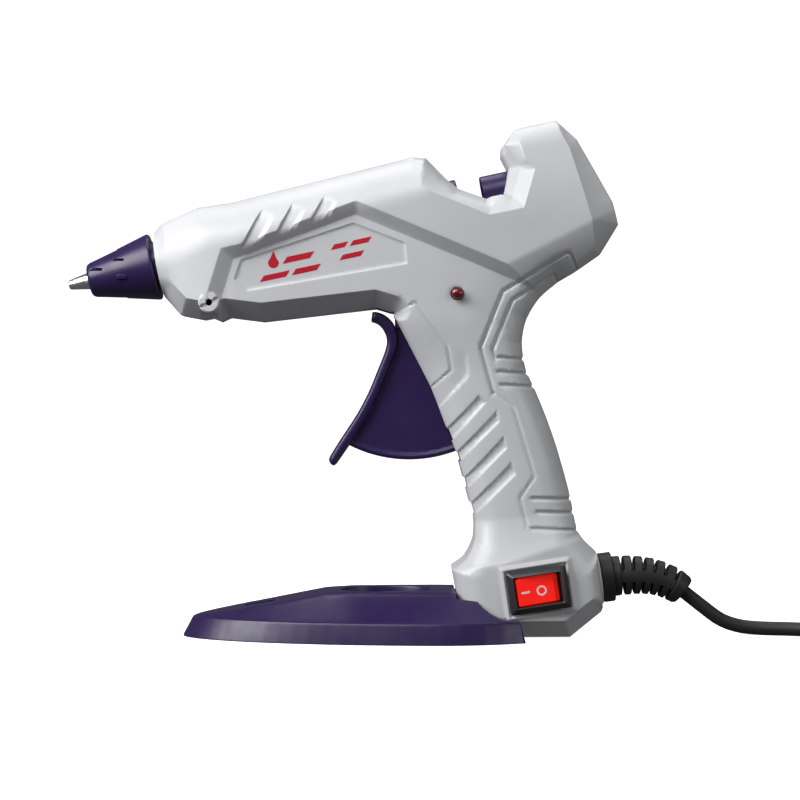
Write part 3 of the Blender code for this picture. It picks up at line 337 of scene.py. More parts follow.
def on_axis(along, across=0.0, y=0.0):
    """A point given along and across the barrel axis."""
    return AXIS_POINT + ALONG * along + ACROSS * across + Vector((0, y, 0))


# ---- casing surface ----


def profile_share(profile, distance):
    """Share of the full half width at a distance in from an edge."""
    if not isinstance(profile[0], tuple):
        reach, first = profile
        ratio = np.clip(distance / reach, 0, 1)
        return first + (1 - first) * np.sqrt(1 - (1 - ratio) ** 2)
    reaches, shares = zip(*profile)
    return np.interp(distance, reaches, shares)


def facet_share(x, z, outer, inner, first, last=1.0):
    """Share that climbs from an outer run to an inner one, and is last everywhere else."""
    from_outer, from_inner = distance_to(x, z, outer), distance_to(x, z, inner)
    climb = from_outer / np.maximum(from_outer + from_inner, 1e-6)
    return np.where(inside(x, z, strip(outer, inner)), first + (last - first) * climb, last)


def below_line(x, z, start, end):
    """Distance below an endless line that runs towards +X, negative above it."""
    dx, dz = end[0] - start[0], end[1] - start[1]
    return ((x - start[0]) * dz - (z - start[1]) * dx) / math.hypot(dx, dz)


def body_rise(x, z):
    """1 on the proud upper body, falling to 0 across its sloping band."""
    region = list(BODY_STEP) + [(110.0, 220.0), (-110.0, 220.0), (-110.0, 105.0)]
    within = np.ones(np.shape(x))
    beyond = np.zeros(np.shape(x))
    for start, end, band in zip(BODY_STEP, BODY_STEP[1:], BODY_STEP_BANDS):
        away = distance_to(x, z, (start, end))
        fall = soft_ramp(away, band)
        if end == BODY_STEP[-1]:
            mitre = soft_ramp(below_line(x, z, *BODY_STEP[-3:-1]), BODY_STEP_BANDS[-2])
            fall = np.minimum(fall, mitre)
        beyond = np.maximum(beyond, fall)
        within = np.minimum(within, soft_ramp(-away, band))
    return np.where(inside(x, z, region), within, beyond)


def above_collar(x, z):
    """Height above the sloping line where the grip meets the foot."""
    return z - COLLAR_START[1] - COLLAR_SLOPE * (x - COLLAR_START[0])


def upper_width(x, z):
    """Half width of the proud upper body, which narrows towards its nose, its hook and its back."""
    bulge = 0.006 * np.clip(z - 146, 0, 40) ** 2 * np.clip((x - 30) / 25, 0, 1)
    return front_width(x) - bulge - rear_taper(x)


def front_width(x):
    """Half width of the barrel, which narrows towards its nose."""
    forward = np.clip((x + 67) / 40, 0, 1)
    return NOSE_HALF + BARREL_WIDENING * (1 - (1 - forward) ** 2)


def rear_taper(x):
    """How much lower each side is towards the back."""
    return 0.0016 * np.clip(x - 25, 0, 30) ** 2 + 0.09 * np.clip(x - 55, 0, 50)


def lower_width(x, z):
    """Half width of the label side, the grip and the foot."""
    panel = np.minimum(PANEL_HALF, front_width(x) - 3.2) - 0.02 * np.clip(140 - z, 0, 25)
    neck = smooth_step((z - 92) / 22)
    panel = panel - rear_taper(x) * neck
    climb = above_collar(x, z)
    flare = np.clip(1 - climb / FLARE_HEIGHT, 0, 1)
    corner_x, corner_z = BODY_STEP[-2]
    along_x, along_z = 0.889, 0.457  # direction of the step's last segment
    below = (x - corner_x) * along_z - (z - corner_z) * along_x
    along = (x - corner_x) * along_x + (z - corner_z) * along_z
    panel = panel - 3.4 * np.clip(below / 13, 0, 1) * np.clip(along / 12, 0, 1)
    panel = panel - 1.9 * (1 - neck)
    grip_low = GRIP_HALF + GRIP_FLARE * (0.45 * flare + 0.55 * flare**2)
    foot = FOOT_HALF - 0.0011 * (x - 60) ** 2
    collar = soft_ramp(climb, 0.5, 0.3)
    low = grip_low * (1 - collar) + foot * collar
    return np.where(z > 60, panel, low) - crown(x, z)


def crown(x, z):
    """How much lower the neck and the grip are away from their middle line."""
    middle = np.interp(z, (40, 60, 85, 109), (64, 60, 51, 43))
    in_front = 0.008 * np.clip(middle - x, 0, 16) ** 2 * smooth_step((116 - z) / 26)
    behind = 0.0065 * np.clip(x - middle, 0, 16) ** 2 * smooth_step((140 - z) / 30)
    return (in_front + behind) * smooth_step((z - 28) / 20)


def edge_share(x, z, wall_in):
    """The lowest of the edge profiles' shares."""
    share = np.ones(np.shape(x))
    for points, _, profile in OUTLINE.values():
        distance = np.maximum(distance_to(x, z, points) - wall_in, 0)
        share = np.minimum(share, profile_share(profile, distance))
    for outer, inner, first, last in (
        (BEVEL_OUTER, BEVEL_INNER, BEVEL_SHARE, 1.0),
        (HOOK_FACET_OUTER, HOOK_FACET_INNER, HOOK_FACET_SHARE, BEVEL_SHARE),
        (REAR_OUTER, REAR_INNER, REAR_SHARE, 1.0),
    ):
        climb = facet_share(x, z, outer, inner, first, last)
        share = np.minimum(share, np.where(climb < last, climb, 1.0))
    return share


def nose_width(x, z, wall_in, full):
    """Half width of the round nose, from its depth below the top and above the bottom."""
    top = [OUTLINE["nose_top"][0][0]] + list(OUTLINE["top"][0])
    bottom = [(18.0, 114.5), (11.6, 116.4), (-28.0, 112.2), (-49.4, 112.7), (-56.9, 113.9), (-63.0, 120.3)]
    depth = np.minimum(distance_to(x, z, top), distance_to(x, z, bottom))
    ratio = np.clip(depth - wall_in, 0, NOSE_ROUNDING) / NOSE_ROUNDING
    return full * np.sqrt(1 - (1 - ratio) ** 2)


def scoop_floor(x, z):
    """How deep the three slanted scoops cut into the upper body."""
    lean = Vector((math.sin(SCOOP_LEAN), math.cos(SCOOP_LEAN)))
    depth = np.zeros(np.shape(x))
    for (cx, cz), length in SCOOPS:
        along = (x - cx) * lean.x + (z - cz) * lean.y
        beside = (x - cx) * lean.y - (z - cz) * lean.x
        slope = soft_ramp(beside - SCOOP_WIDTH, SCOOP_SLOPE, 0.15)
        section = np.minimum(1 - soft_ramp(beside, 0.45, 0.1), slope)
        fade = 1 - soft_ramp(length - along, 3.5, 0.3)
        depth = np.maximum(depth, SCOOP_DEPTH * section * fade * (along > -9))
    return depth


def switch_place(a, b):
    """The (x, z) of a position along and across the switch."""
    x = SWITCH_CENTRE[0] + a * SWITCH_COS - b * SWITCH_SIN
    z = SWITCH_CENTRE[1] + a * SWITCH_SIN + b * SWITCH_COS
    return (x, z)


def switch_frame(x, z):
    """Position along and across the switch."""
    dx, dz = x - SWITCH_CENTRE[0], z - SWITCH_CENTRE[1]
    return dx * SWITCH_COS + dz * SWITCH_SIN, dz * SWITCH_COS - dx * SWITCH_SIN


def block_distance(x, z, width, height):
    """Distance outside a block square to the switch, negative inside."""
    a, b = switch_frame(x, z)
    return np.maximum(np.abs(a) - width / 2, np.abs(b) - height / 2)


def relief_detail(x, z, side):
    """Height that the grooves, recesses, label panel and switch surround add to the casing."""
    panel = signed_distance(x, z, list(LABEL_PANEL)) + PANEL_DEPTH
    added = -PANEL_DEPTH * soft_ramp(panel, PANEL_DEPTH)
    for points in GROOVES:
        added -= GROOVE_DEPTH * np.clip(1 - (distance_to(x, z, points) / GROOVE_REACH) ** 2, 0, 1)
    for points in FINE_GROOVES:
        added -= FINE_GROOVE_DEPTH * np.clip(1 - (distance_to(x, z, points) / FINE_GROOVE_REACH) ** 2, 0, 1)
    for upper, lower in RECESSES:
        away = signed_distance(x, z, strip(upper, lower))
        added -= RECESS_DEPTH * soft_ramp(away + RECESS_EDGE, RECESS_EDGE)
    ridge = distance_to(x, z, RIDGE)
    ridge_top = RIDGE[0][1]
    before = inside(x, z, list(RIDGE) + [(20.0, 80.0), (20.0, ridge_top)])
    fall = np.clip(ridge / RIDGE_REACH, 0, 1) * np.clip(1 - (ridge - RIDGE_REACH) / 6.0, 0, 1)
    fall *= np.clip((ridge_top - z) / 6, 0, 1)
    added -= 0.6 * np.where(before, fall, 0)
    if side < 0:
        lip = soft_ramp(block_distance(x, z, *LIP_SIZE), 0.9, 0.25)
        pocket = soft_ramp(block_distance(x, z, *POCKET_SIZE), 0.25, 0.1)
        added += 1.0 * lip - 0.95 * pocket
        rim = np.hypot(x - LED_AT[0], z - LED_AT[1]) - 2.45
        added -= 0.35 * soft_ramp(rim, 0.5, 0.15)
    return added


def casing_half_width(x, z, side, wall_in=0.0):
    """Half width of the casing's outer surface, or of its inner surface when wall_in is given."""
    upper, lower = upper_width(x, z), lower_width(x, z)
    full = lower + (upper - lower) * body_rise(x, z)
    share = edge_share(x, z, wall_in)
    blend = smooth_step((x - NOSE_BLEND[0]) / NOSE_BLEND[1])
    width = nose_width(x, z, wall_in, full) * (1 - blend) + full * share * blend
    if wall_in:
        return np.maximum(width - wall_in, 0.6)
    unstepped = nose_width(x, z, 0.0, upper) * (1 - blend) + upper * share * blend
    width = np.minimum(width, unstepped - scoop_floor(x, z))
    ring = inside(x, z, list(NOSE_CREASE) + [(-75.0, 115.0), (-75.0, 147.0)])
    width -= NOSE_RING_SLOPE * np.where(ring, distance_to(x, z, NOSE_CREASE), 0)
    fade = np.clip(width / 5.0, 0, 1)
    return np.maximum(width + relief_detail(x, z, side) * fade, 0.8)


def casing_outline():
    """The casing's outline, with its curved runs smoothed and the grip's small notches."""
    points = []
    for run, smooth, _ in OUTLINE.values():
        run = [tuple(p) for p in smooth_route([Vector(p) for p in run], 1.5)] if smooth else list(run)
        points += run[:-1]
    fine = resampled(points, 0.7, closed=True)
    runs_off = np.zeros(len(fine), bool)
    for upper, lower in RECESSES:
        runs_off |= inside(*np.array(fine).T, strip(upper, lower))
    return [notched(point, cut) for point, cut in zip(fine, runs_off)]


def notched(point, in_recess):
    """A point of the outline, moved in where a groove or a recess runs over the edge."""
    near = min(math.dist(point, notch) for notch in OUTLINE_NOTCHES)
    groove = 0.8 * max(0.0, 1 - near / 1.1)
    return (point[0] - groove + 0.7 * in_recess, point[1])


def casing_lines(outline, side):
    """Creases that the casing's surface follows, so that they stay crisp."""
    lines = [side_run(run, offset) for run in (BODY_STEP[1:-1], BAND_FOOT) for offset in (-0.12, 0.12)]
    creases = [NOSE_CREASE, BEVEL_INNER, HOOK_FACET_INNER, REAR_INNER, BAND_MITRE]
    for points, _, profile in OUTLINE.values():
        if isinstance(profile[0], tuple):
            creases += [side_run(points, -reach) for reach, _ in profile[1:]]
    lines += [side_run(run, offset) for run in creases for offset in (-0.2, 0.0, 0.2)]
    panel = list(LABEL_PANEL) + [LABEL_PANEL[0]]
    lines += [panel, side_run(panel, -PANEL_DEPTH), side_run(panel, 0.12)]
    for points in GROOVES:
        lines += [side_run(points, GROOVE_REACH * share) for share in (-1, -0.5, 0, 0.5, 1)]
    for points in FINE_GROOVES:
        lines += [side_run(points, FINE_GROOVE_REACH * share) for share in (-1, 0, 1)]
    lines += [side_run(RIDGE, offset) for offset in (-RIDGE_REACH, 0.0)]
    for upper, lower in RECESSES:
        ring = strip(upper, lower) + [upper[0]]
        lines += [ring, side_run(ring, -RECESS_EDGE), side_run(ring, 0.12)]
    collar = [(x, COLLAR_START[1] + COLLAR_SLOPE * (x - COLLAR_START[0])) for x in (38.0, 91.0)]
    lines += [side_run(collar, offset) for offset in (0.0, 0.5)]
    flare = [(x, z + FLARE_HEIGHT) for x, z in collar]
    lines.append(flare)
    lean = Vector((math.sin(SCOOP_LEAN), math.cos(SCOOP_LEAN)))
    for (cx, cz), length in SCOOPS:
        for beside in (-0.1, 0.1, 0.35, 0.55, 3.75, 4.05, 5.45, 5.75):
            foot = (cx + lean.y * beside - lean.x * 5, cz - lean.x * beside - lean.y * 5)
            lines.append([foot, (foot[0] + lean.x * (length + 5), foot[1] + lean.y * (length + 5))])
    if side < 0:
        for (width, height), wider in ((LIP_SIZE, 1.8), (POCKET_SIZE, 0.5)):
            lines.append(switch_rectangle(width, height))
            lines.append(switch_rectangle(width + wider, height + wider))
    for inset in (0.3, 0.8, 1.6, 2.8, 4.4, 6.2):
        ring = inset_ring(outline, inset)
        lines.append(ring + ring[:1])
    return lines


def switch_rectangle(width, height):
    """A closed rectangle square to the switch."""
    corners = []
    for u, v in ((-1, -1), (1, -1), (1, 1), (-1, 1), (-1, -1)):
        a, b = u * width / 2, v * height / 2
        corners.append(switch_place(a, b))
    return corners


# ---- objects ----


def add_mesh(name, verts, faces, material=None, sharp_degrees=35):
    """An object from points in millimetres; without a material it is a helper."""
    mesh = bpy.data.meshes.new(name)
    mesh.from_pydata([Vector(v) * MM for v in verts], [], faces)
    work = bmesh.new()
    work.from_mesh(mesh)
    bmesh.ops.recalc_face_normals(work, faces=work.faces)
    work.to_mesh(mesh)
    work.free()
    mesh.shade_smooth()
    mesh.set_sharp_from_angle(angle=math.radians(sharp_degrees))
    obj = bpy.data.objects.new(name, mesh)
    bpy.context.scene.collection.objects.link(obj)
    if material:
        mesh.materials.append(material)
    else:
        obj.hide_render = True
    return obj


def boolean(obj, other, operation="DIFFERENCE", solver="EXACT"):
    """Cuts another object out of this one, or joins it to this one; applied() carries it out."""
    modifier = obj.modifiers.new(other.name, "BOOLEAN")
    modifier.object = other
    modifier.operation = operation
    modifier.solver = solver
    return obj


def applied(obj, sharp_degrees=35):
    """Turns an object's modifiers into its mesh, and removes the helpers that they used."""
    helpers = [m.object for m in obj.modifiers if m.type == "BOOLEAN"]
    evaluated = obj.evaluated_get(bpy.context.evaluated_depsgraph_get())
    mesh = bpy.data.meshes.new_from_object(evaluated)
    obj.modifiers.clear()
    obj.data = mesh
    mesh.shade_smooth()
    mesh.set_sharp_from_angle(angle=math.radians(sharp_degrees))
    for helper in helpers:
        bpy.data.objects.remove(helper)
    weighted = obj.modifiers.new("flat_faces", "WEIGHTED_NORMAL")
    weighted.keep_sharp = True
    return obj


def bevelled(obj, width, segments=2, angle=30):
    """Rounds the edges that are sharper than an angle."""
    modifier = obj.modifiers.new("bevel", "BEVEL")
    modifier.width = width * MM
    modifier.segments = segments
    modifier.limit_method = "ANGLE"
    modifier.angle_limit = math.radians(angle)
    return obj


def quads_between(here, there, count):
    """Faces between two equal rings of vertices, given where each ring starts."""
    return [(here + i, here + (i + 1) % count, there + (i + 1) % count, there + i) for i in range(count)]


def prism(name, outline, y_from, y_to, material=None):
    """An outline in (x, z) pushed along Y."""
    count = len(outline)
    verts = [(x, y_from, z) for x, z in outline] + [(x, y_to, z) for x, z in outline]
    ends = [tuple(range(count)), tuple(range(2 * count - 1, count - 1, -1))]
    return add_mesh(name, verts, quads_between(0, count, count) + ends, material)


def box(name, low, high, material=None):
    outline = [(low[0], low[2]), (high[0], low[2]), (high[0], high[2]), (low[0], high[2])]
    return prism(name, outline, low[1], high[1], material)


def turned(name, profile, base, axis, material=None, segments=64):
    """A closed profile of (along, radius) turned about an axis."""
    axis = Vector(axis).normalized()
    side = axis.cross(Vector((0, 1, 0)) if abs(axis.y) < 0.9 else Vector((1, 0, 0))).normalized()
    up = axis.cross(side)
    base = Vector(base)
    verts, rings = [], []
    for along, radius in profile:
        centre = base + axis * along
        if radius == 0:
            rings.append([len(verts)] * segments)
            verts.append(centre)
            continue
        rings.append(list(range(len(verts), len(verts) + segments)))
        for i in range(segments):
            turn = 2 * math.pi * i / segments
            verts.append(centre + (side * math.cos(turn) + up * math.sin(turn)) * radius)
    faces = []
    for ring, following in zip(rings, rings[1:] + rings[:1]):
        for i in range(segments):
            j = (i + 1) % segments
            corners = dict.fromkeys((ring[i], ring[j], following[j], following[i]))
            if len(corners) > 2:
                faces.append(tuple(corners))
    return add_mesh(name, verts, faces, material)


def rod(name, start, end, radius, material=None, segments=32):
    start, end = Vector(start), Vector(end)
    length = (end - start).length
    profile = [(0, 0), (0, radius), (length, radius), (length, 0)]
    return turned(name, profile, start, end - start, material, segments)


def raised_sheet(name, outline, height, floor, spacing, lines, place, material=None):
    """A closed solid over an outline, whose top follows height(u, v); place gives 3-D points."""
    border = resampled(outline, spacing, closed=True)
    runs = [run for line in lines for run in pieces_inside(resampled(line, spacing), border)]
    us, vs = np.array(border).T
    columns, rows = np.arange(us.min(), us.max(), spacing), np.arange(vs.min(), vs.max(), spacing)
    grid_u, grid_v = np.meshgrid(columns, rows)
    grid_u[1::2] += spacing / 2
    grid_u, grid_v = grid_u.ravel(), grid_v.ravel()
    keep = inside(grid_u, grid_v, border)
    grid_u, grid_v = grid_u[keep], grid_v[keep]
    keep = distance_to(grid_u, grid_v, border + border[:1]) > spacing * 0.55
    for line in lines:
        keep &= distance_to(grid_u, grid_v, line) > spacing * 0.5
    run_points = [point for run in runs for point in run]
    points = [Vector(p) for p in border + run_points] + [Vector(p) for p in zip(grid_u[keep], grid_v[keep])]
    edges, first = [], len(border)
    for run in runs:
        edges += [(first + i, first + i + 1) for i in range(len(run) - 1)]
        first += len(run)
    flat, _, faces, _, _, _ = delaunay_2d_cdt(points, edges, [list(range(len(border)))], 1, 1e-4)
    flat_u, flat_v = np.array(flat).T
    tops = height(flat_u, flat_v)
    count = len(flat)
    rim = rim_loop(faces)
    verts = [place(u, v, h) for u, v, h in zip(flat_u, flat_v, tops)]
    verts += [place(flat_u[i], flat_v[i], floor) for i in rim]
    sides = []
    for i in range(len(rim)):
        j = (i + 1) % len(rim)
        sides.append((rim[i], rim[j], count + j, count + i))
    bottom = tuple(range(count, count + len(rim)))
    return add_mesh(name, verts, [tuple(f) for f in faces] + sides + [bottom], material)


def pieces_inside(line, border):
    """The stretches of a run of points that are inside a closed border and clear of it."""
    us, vs = np.array(line).T
    clear = inside(us, vs, border) & (distance_to(us, vs, border + border[:1]) > 0.15)
    stretches, current = [], []
    for point, kept in zip(line, clear):
        if kept:
            current.append(point)
            continue
        stretches.append(current)
        current = []
    stretches.append(current)
    return [stretch for stretch in stretches if len(stretch) > 1]


def rim_loop(faces):
    """The vertices around the edge of a triangulated region, in order."""
    onward = {}
    for face in faces:
        for a, b in zip(face, face[1:] + face[:1]):
            onward[(a, b)] = True
    after = {a: b for a, b in onward if (b, a) not in onward}
    start = next(iter(after))
    loop, here = [start], after[start]
    while here != start:
        loop.append(here)
        here = after[here]
    return loop


# ---- casing ----


def relief_point(along, across=0.0):
    """A point in the frame of the strain relief, from the middle of its flange."""
    x = RELIEF_START[0] + along * math.cos(RELIEF_TILT) - across * math.sin(RELIEF_TILT)
    z = RELIEF_START[1] + along * math.sin(RELIEF_TILT) + across * math.cos(RELIEF_TILT)
    return Vector((x, 0, z))


def switch_block(name, width, height, y_from, y_to, material=None):
    """A block square to the switch."""
    return prism(name, switch_rectangle(width, height)[:4], y_from, y_to, material)


def axis_outline(corners):
    """An outline in (x, z) from corners given along and across the barrel axis."""
    return [(p.x, p.z) for p in (on_axis(along, across) for along, across in corners)]


def cavity_keepouts(side):
    """Solid places left in a casing half: screw bosses, ribs, the pin's support and the cord seat."""
    solids = []
    for x, z in SCREWS_AT:
        solids.append(rod("boss", (x, -side, z), (x, side * 30, z), 4.8 if side > 0 else 3.4))
    x, z = TRIGGER_PIVOT
    solids.append(rod("pivot_boss", (x, side * 8.2, z), (x, side * 30, z), 3.6))
    for along, low in ((-58.0, -9), (-22.0, -9), (60.0, -11), (88.0, -11)):
        rib = axis_outline(((along, low), (along + 2, low), (along + 2, 30), (along, 30)))
        solids.append(prism("rib", rib, -side * 1.0, side * 30))
    seat_x, seat_z = RELIEF_START
    low, high = sorted((-side, side * 30))
    solids.append(box("cord_seat", (seat_x - 8, low, seat_z - 9.5), (seat_x + 10, high, seat_z + 9.5)))
    return solids


def casing_cutters(side):
    """Openings through a casing half."""
    pivot_x, pivot_z = TRIGGER_PIVOT
    eye_x, eye_z = REST_EYE_AT
    slot_front = [(12.2, 118.5), (11.0, 110.0), (20.0, 98.0), (27.0, 80.0), (36.0, 62.8)]
    slot_back = [(44.5, 62.2), (47.0, 75.0), (38.0, 95.0), (28.5, 112.0), (22.0, 122.0)]
    cutters = [
        rod("chamber_way", on_axis(-80), on_axis(-17), 7.9, segments=48),
        rod("nose_way", on_axis(-80), on_axis(-61), 9.4, segments=48),
        rod("carriage_way", on_axis(30), on_axis(58), 8.15, segments=48),
        rod("guide_way", on_axis(50), on_axis(112), 7.15, segments=48),
        prism("trigger_slot", slot_front + slot_back, -8.1, 8.1),
        rod("pin_way", (pivot_x, side * 5, pivot_z), (pivot_x, side * 13.1, pivot_z), 1.7),
        rod("eye_way", (eye_x, -30, eye_z), (eye_x, 30, eye_z), 1.2),
        rod("cord_way", relief_point(-30), relief_point(10), 4.6),
        prism("rail_groove", [(37, 4.9), (57.5, 4.9), (57.5, 7.5), (37, 7.5)], side * 18.4, side * 30),
        eye_slot(side),
    ]
    for x, z in SCREWS_AT:
        if side > 0:
            cutters.append(rod("screw_way", (x, -1, z), (x, 31, z), 1.8))
            cutters.append(rod("screw_head_way", (x, 9, z), (x, 30, z), 3.5, segments=48))
        else:
            cutters.append(rod("screw_way", (x, 1, z), (x, -10.5, z), 1.8))
    if side < 0:
        x, z = LED_AT
        cutters.append(rod("lamp_way", (x, -10, z), (x, -30, z), 2.4, segments=48))
        cutters.append(switch_block("switch_way", 19.0, 12.9, -30.0, -10.0))
    return cutters


def eye_slot(side):
    """The slanting slot across the end of the rest eye."""
    x, z = REST_EYE_AT
    lean = math.radians(28)
    along = Vector((math.cos(lean), math.sin(lean))) * 6
    across = Vector((-math.sin(lean), math.cos(lean))) * 0.85
    centre = Vector((x, z)) - across * 0.5
    corners = (-along - across, along - across, along + across, -along + across)
    return prism("eye_slot", [tuple(centre + corner) for corner in corners], side * 18.3, side * 30)


def build_casing(side, material):
    """One half of the casing, as a shell round a hollow."""
    node = "casing_left" if side < 0 else "casing_right"
    outline = casing_outline()

    def place(x, z, h):
        return (x, side * h, z)

    def outer(x, z):
        return casing_half_width(x, z, side)

    def inner(x, z):
        return casing_half_width(x, z, side, WALL)

    lines = casing_lines(outline, side)
    shell = raised_sheet(f"{node}_shell", outline, outer, SEAM, 0.95, lines, place, material)
    x, z = REST_EYE_AT
    eye_profile = [(0, 0), (0, 3.7), (12.6, 3.7), (13.1, 3.2), (13.1, 0)]
    solver = "MANIFOLD"
    boolean(shell, turned("eye", eye_profile, (x, side * 6, z), (0, side, 0)), "UNION", solver)
    boss = rod("cord_boss", relief_point(-8), relief_point(-2.4), 9.2, segments=64)
    low, high = sorted((side * SEAM, side * 30))
    boolean(boss, box("boss_trim", (60, low, -5), (120, high, 60)), "INTERSECT", solver)
    boolean(shell, applied(boss), "UNION", solver)
    coarse = [point for run, _, _ in OUTLINE.values() for point in run[:-1]]
    inner_outline = inset_ring(resampled(coarse, 6.5, True), WALL + 0.3)
    cavity = raised_sheet("cavity", inner_outline, inner, -1.0, 6.5, [], place)
    for solid in cavity_keepouts(side):
        boolean(cavity, solid)
    boolean(shell, applied(cavity), "DIFFERENCE", solver)
    for cutter in casing_cutters(side):
        boolean(shell, cutter, "DIFFERENCE", solver)
    applied(shell, 22)
    stands_for(shell, "gun", "silver_plastic", node)


# ---- materials ----


def node_material(name):
    material = bpy.data.materials.new(name)
    material.use_nodes = True
    shader = material.node_tree.nodes["Principled BSDF"]
    return material, material.node_tree, shader


def noise(tree, scale, detail=4.0, roughness=0.5):
    """Noise in the object's own coordinates, in metres."""
    place = tree.nodes.new("ShaderNodeTexCoord")
    texture = tree.nodes.new("ShaderNodeTexNoise")
    texture.inputs["Scale"].default_value = scale
    texture.inputs["Detail"].default_value = detail
    texture.inputs["Roughness"].default_value = roughness
    tree.links.new(place.outputs["Object"], texture.inputs["Vector"])
    return texture.outputs["Fac"]


def ramp(tree, value, low, high):
    """Turns a value into a colour between two, across the middle of its range."""
    node = tree.nodes.new("ShaderNodeValToRGB")
    for stop, position, colour in zip(node.color_ramp.elements, (0.35, 0.65), (low, high)):
        stop.position = position
        stop.color = (*colour, 1)
    tree.links.new(value, node.inputs["Fac"])
    return node.outputs["Color"]


def spread(tree, value, low, high):
    """Turns a value into a number between two."""
    node = tree.nodes.new("ShaderNodeMapRange")
    limits = {"From Min": 0.3, "From Max": 0.7, "To Min": low, "To Max": high}
    for socket, limit in limits.items():
        node.inputs[socket].default_value = limit
    tree.links.new(value, node.inputs["Value"])
    return node.outputs["Result"]


def bump(tree, shader, height, strength):
    node = tree.nodes.new("ShaderNodeBump")
    node.inputs["Strength"].default_value = strength
    node.inputs["Distance"].default_value = GRAIN_DEPTH_M
    tree.links.new(height, node.inputs["Height"])
    tree.links.new(node.outputs["Normal"], shader.inputs["Normal"])


def uneven(tree, shader, broad, fine, shade, colour, roughness, swing):
    """Varies the colour by a broad noise, and the roughness by a fine one, a swing either way."""
    tree.links.new(ramp(tree, broad, shade, colour), shader.inputs["Base Color"])
    gloss = spread(tree, fine, roughness - swing, roughness + swing)
    tree.links.new(gloss, shader.inputs["Roughness"])


def moulded(name, colour, shade, roughness, grain=0.12, coat=0.0, specular=0.5):
    """Plastic, rubber or another moulded finish: slightly uneven colour and gloss under a fine grain."""
    material, tree, shader = node_material(name)
    broad, fine = noise(tree, 34.0, 5.0), noise(tree, 160.0, 6.0)
    uneven(tree, shader, broad, fine, shade, colour, roughness, 0.05)
    bump(tree, shader, noise(tree, 2600.0, 3.0, 0.6), grain)
    shader.inputs["Coat Weight"].default_value = coat
    shader.inputs["Specular IOR Level"].default_value = specular
    material.diffuse_color = (*colour, 1)
    return material


def metal(name, colour, shade, roughness):
    """Bare metal with fine, uneven brushing."""
    material, tree, shader = node_material(name)
    broad, fine = noise(tree, 90.0, 6.0), noise(tree, 700.0, 4.0)
    uneven(tree, shader, broad, fine, shade, colour, roughness, 0.08)
    bump(tree, shader, noise(tree, 1800.0, 4.0, 0.7), 0.1)
    shader.inputs["Metallic"].default_value = 1.0
    return material


def lens_material():
    material, tree, shader = node_material("lamp_lens")
    deep = noise(tree, 500.0, 2.0)
    tree.links.new(ramp(tree, deep, (0.06, 0.0, 0.002), (0.22, 0.004, 0.01)), shader.inputs["Base Color"])
    shader.inputs["Roughness"].default_value = 0.08
    shader.inputs["Coat Weight"].default_value = 0.6
    return material


MATERIALS = {
    "silver_plastic": moulded(
        "satin_silver_plastic", (0.60, 0.61, 0.63), (0.57, 0.58, 0.60), 0.40, coat=0.05
    ),
    "purple_plastic": moulded(
        "dark_purple_plastic", (0.024, 0.011, 0.073), (0.020, 0.009, 0.062), 0.34, specular=0.45
    ),
    "black_plastic": moulded(
        "black_switch_plastic", (0.012, 0.012, 0.013), (0.008, 0.008, 0.009), 0.42, specular=0.8
    ),
    "black_rubber": moulded(
        "black_cable_rubber", (0.016, 0.016, 0.017), (0.010, 0.010, 0.010), 0.55, grain=0.3
    ),
    "red_plastic": moulded(
        "red_switch_plastic", (0.86, 0.010, 0.008), (0.78, 0.006, 0.006), 0.30, grain=0.05, coat=0.2
    ),
    "red_lens": lens_material(),
    "aluminium": metal("cast_aluminium", (0.80, 0.80, 0.81), (0.70, 0.70, 0.71), 0.32),
    "steel": metal("bright_steel", (0.62, 0.62, 0.63), (0.50, 0.50, 0.51), 0.34),
    "brass": metal("stamped_brass", (0.76, 0.56, 0.24), (0.66, 0.47, 0.18), 0.30),
    "plug_metal": metal("nickel_plate", (0.74, 0.72, 0.66), (0.66, 0.64, 0.58), 0.20),
    "ceramic": moulded("fired_ceramic", (0.76, 0.75, 0.71), (0.70, 0.69, 0.65), 0.62, grain=0.35),
    "silicone": moulded("white_silicone", (0.74, 0.73, 0.70), (0.68, 0.67, 0.64), 0.50),
    "board": moulded("coated_board", (0.02, 0.16, 0.05), (0.015, 0.11, 0.035), 0.42),
    "wire": moulded("wire_cover", (0.58, 0.03, 0.03), (0.48, 0.02, 0.02), 0.50),
}
WHITE_PRINT = moulded("white_print", (0.86, 0.86, 0.86), (0.80, 0.80, 0.80), 0.45, grain=0.05)
RED_PRINT = moulded("red_print", (0.52, 0.004, 0.022), (0.46, 0.003, 0.018), 0.45, grain=0.05)


def light_up(material, colour, strength):
    """Makes a material glow: an even brightness for the floor, and a painted glow that brightens the red
    rocker's plastic.
    """
    shader = material.node_tree.nodes["Principled BSDF"]
    shader.inputs["Emission Color"].default_value = (*colour, 1)
    shader.inputs["Emission Strength"].default_value = strength


# Painted glow on the red rocker: its emission brightens the red plastic, which is no lamp.
light_up(MATERIALS["red_plastic"], (1.0, 0.02, 0.01), 0.4)


def dress_cad_nodes():
    """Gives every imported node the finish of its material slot."""
    slots = {part["node"]: part["material_slot"] for part in frame["record"]["subparts"]}
    for name, node in frame["nodes"].items():
        node.data.materials.clear()
        node.data.materials.append(MATERIALS[slots[name]])


# ---- camera, light and floor ----


def build_camera():
    camera = bpy.data.cameras.new("camera")
    camera.sensor_width = 36
    camera.lens = CAMERA_LENS
    obj = bpy.data.objects.new("camera", camera)
    obj.location = CAMERA_AT_M
    obj.rotation_euler = (math.radians(90), 0, 0)
    bpy.context.scene.collection.objects.link(obj)
    bpy.context.scene.camera = obj


def area_light(name, place, aim, size, power):
    light = bpy.data.lights.new(name, "AREA")
    light.shape = "RECTANGLE"
    light.size, light.size_y = size
    light.energy = power
    obj = bpy.data.objects.new(name, light)
    obj.location = place
    obj.rotation_euler = (Vector(aim) - Vector(place)).to_track_quat("-Z", "Y").to_euler()
    bpy.context.scene.collection.objects.link(obj)


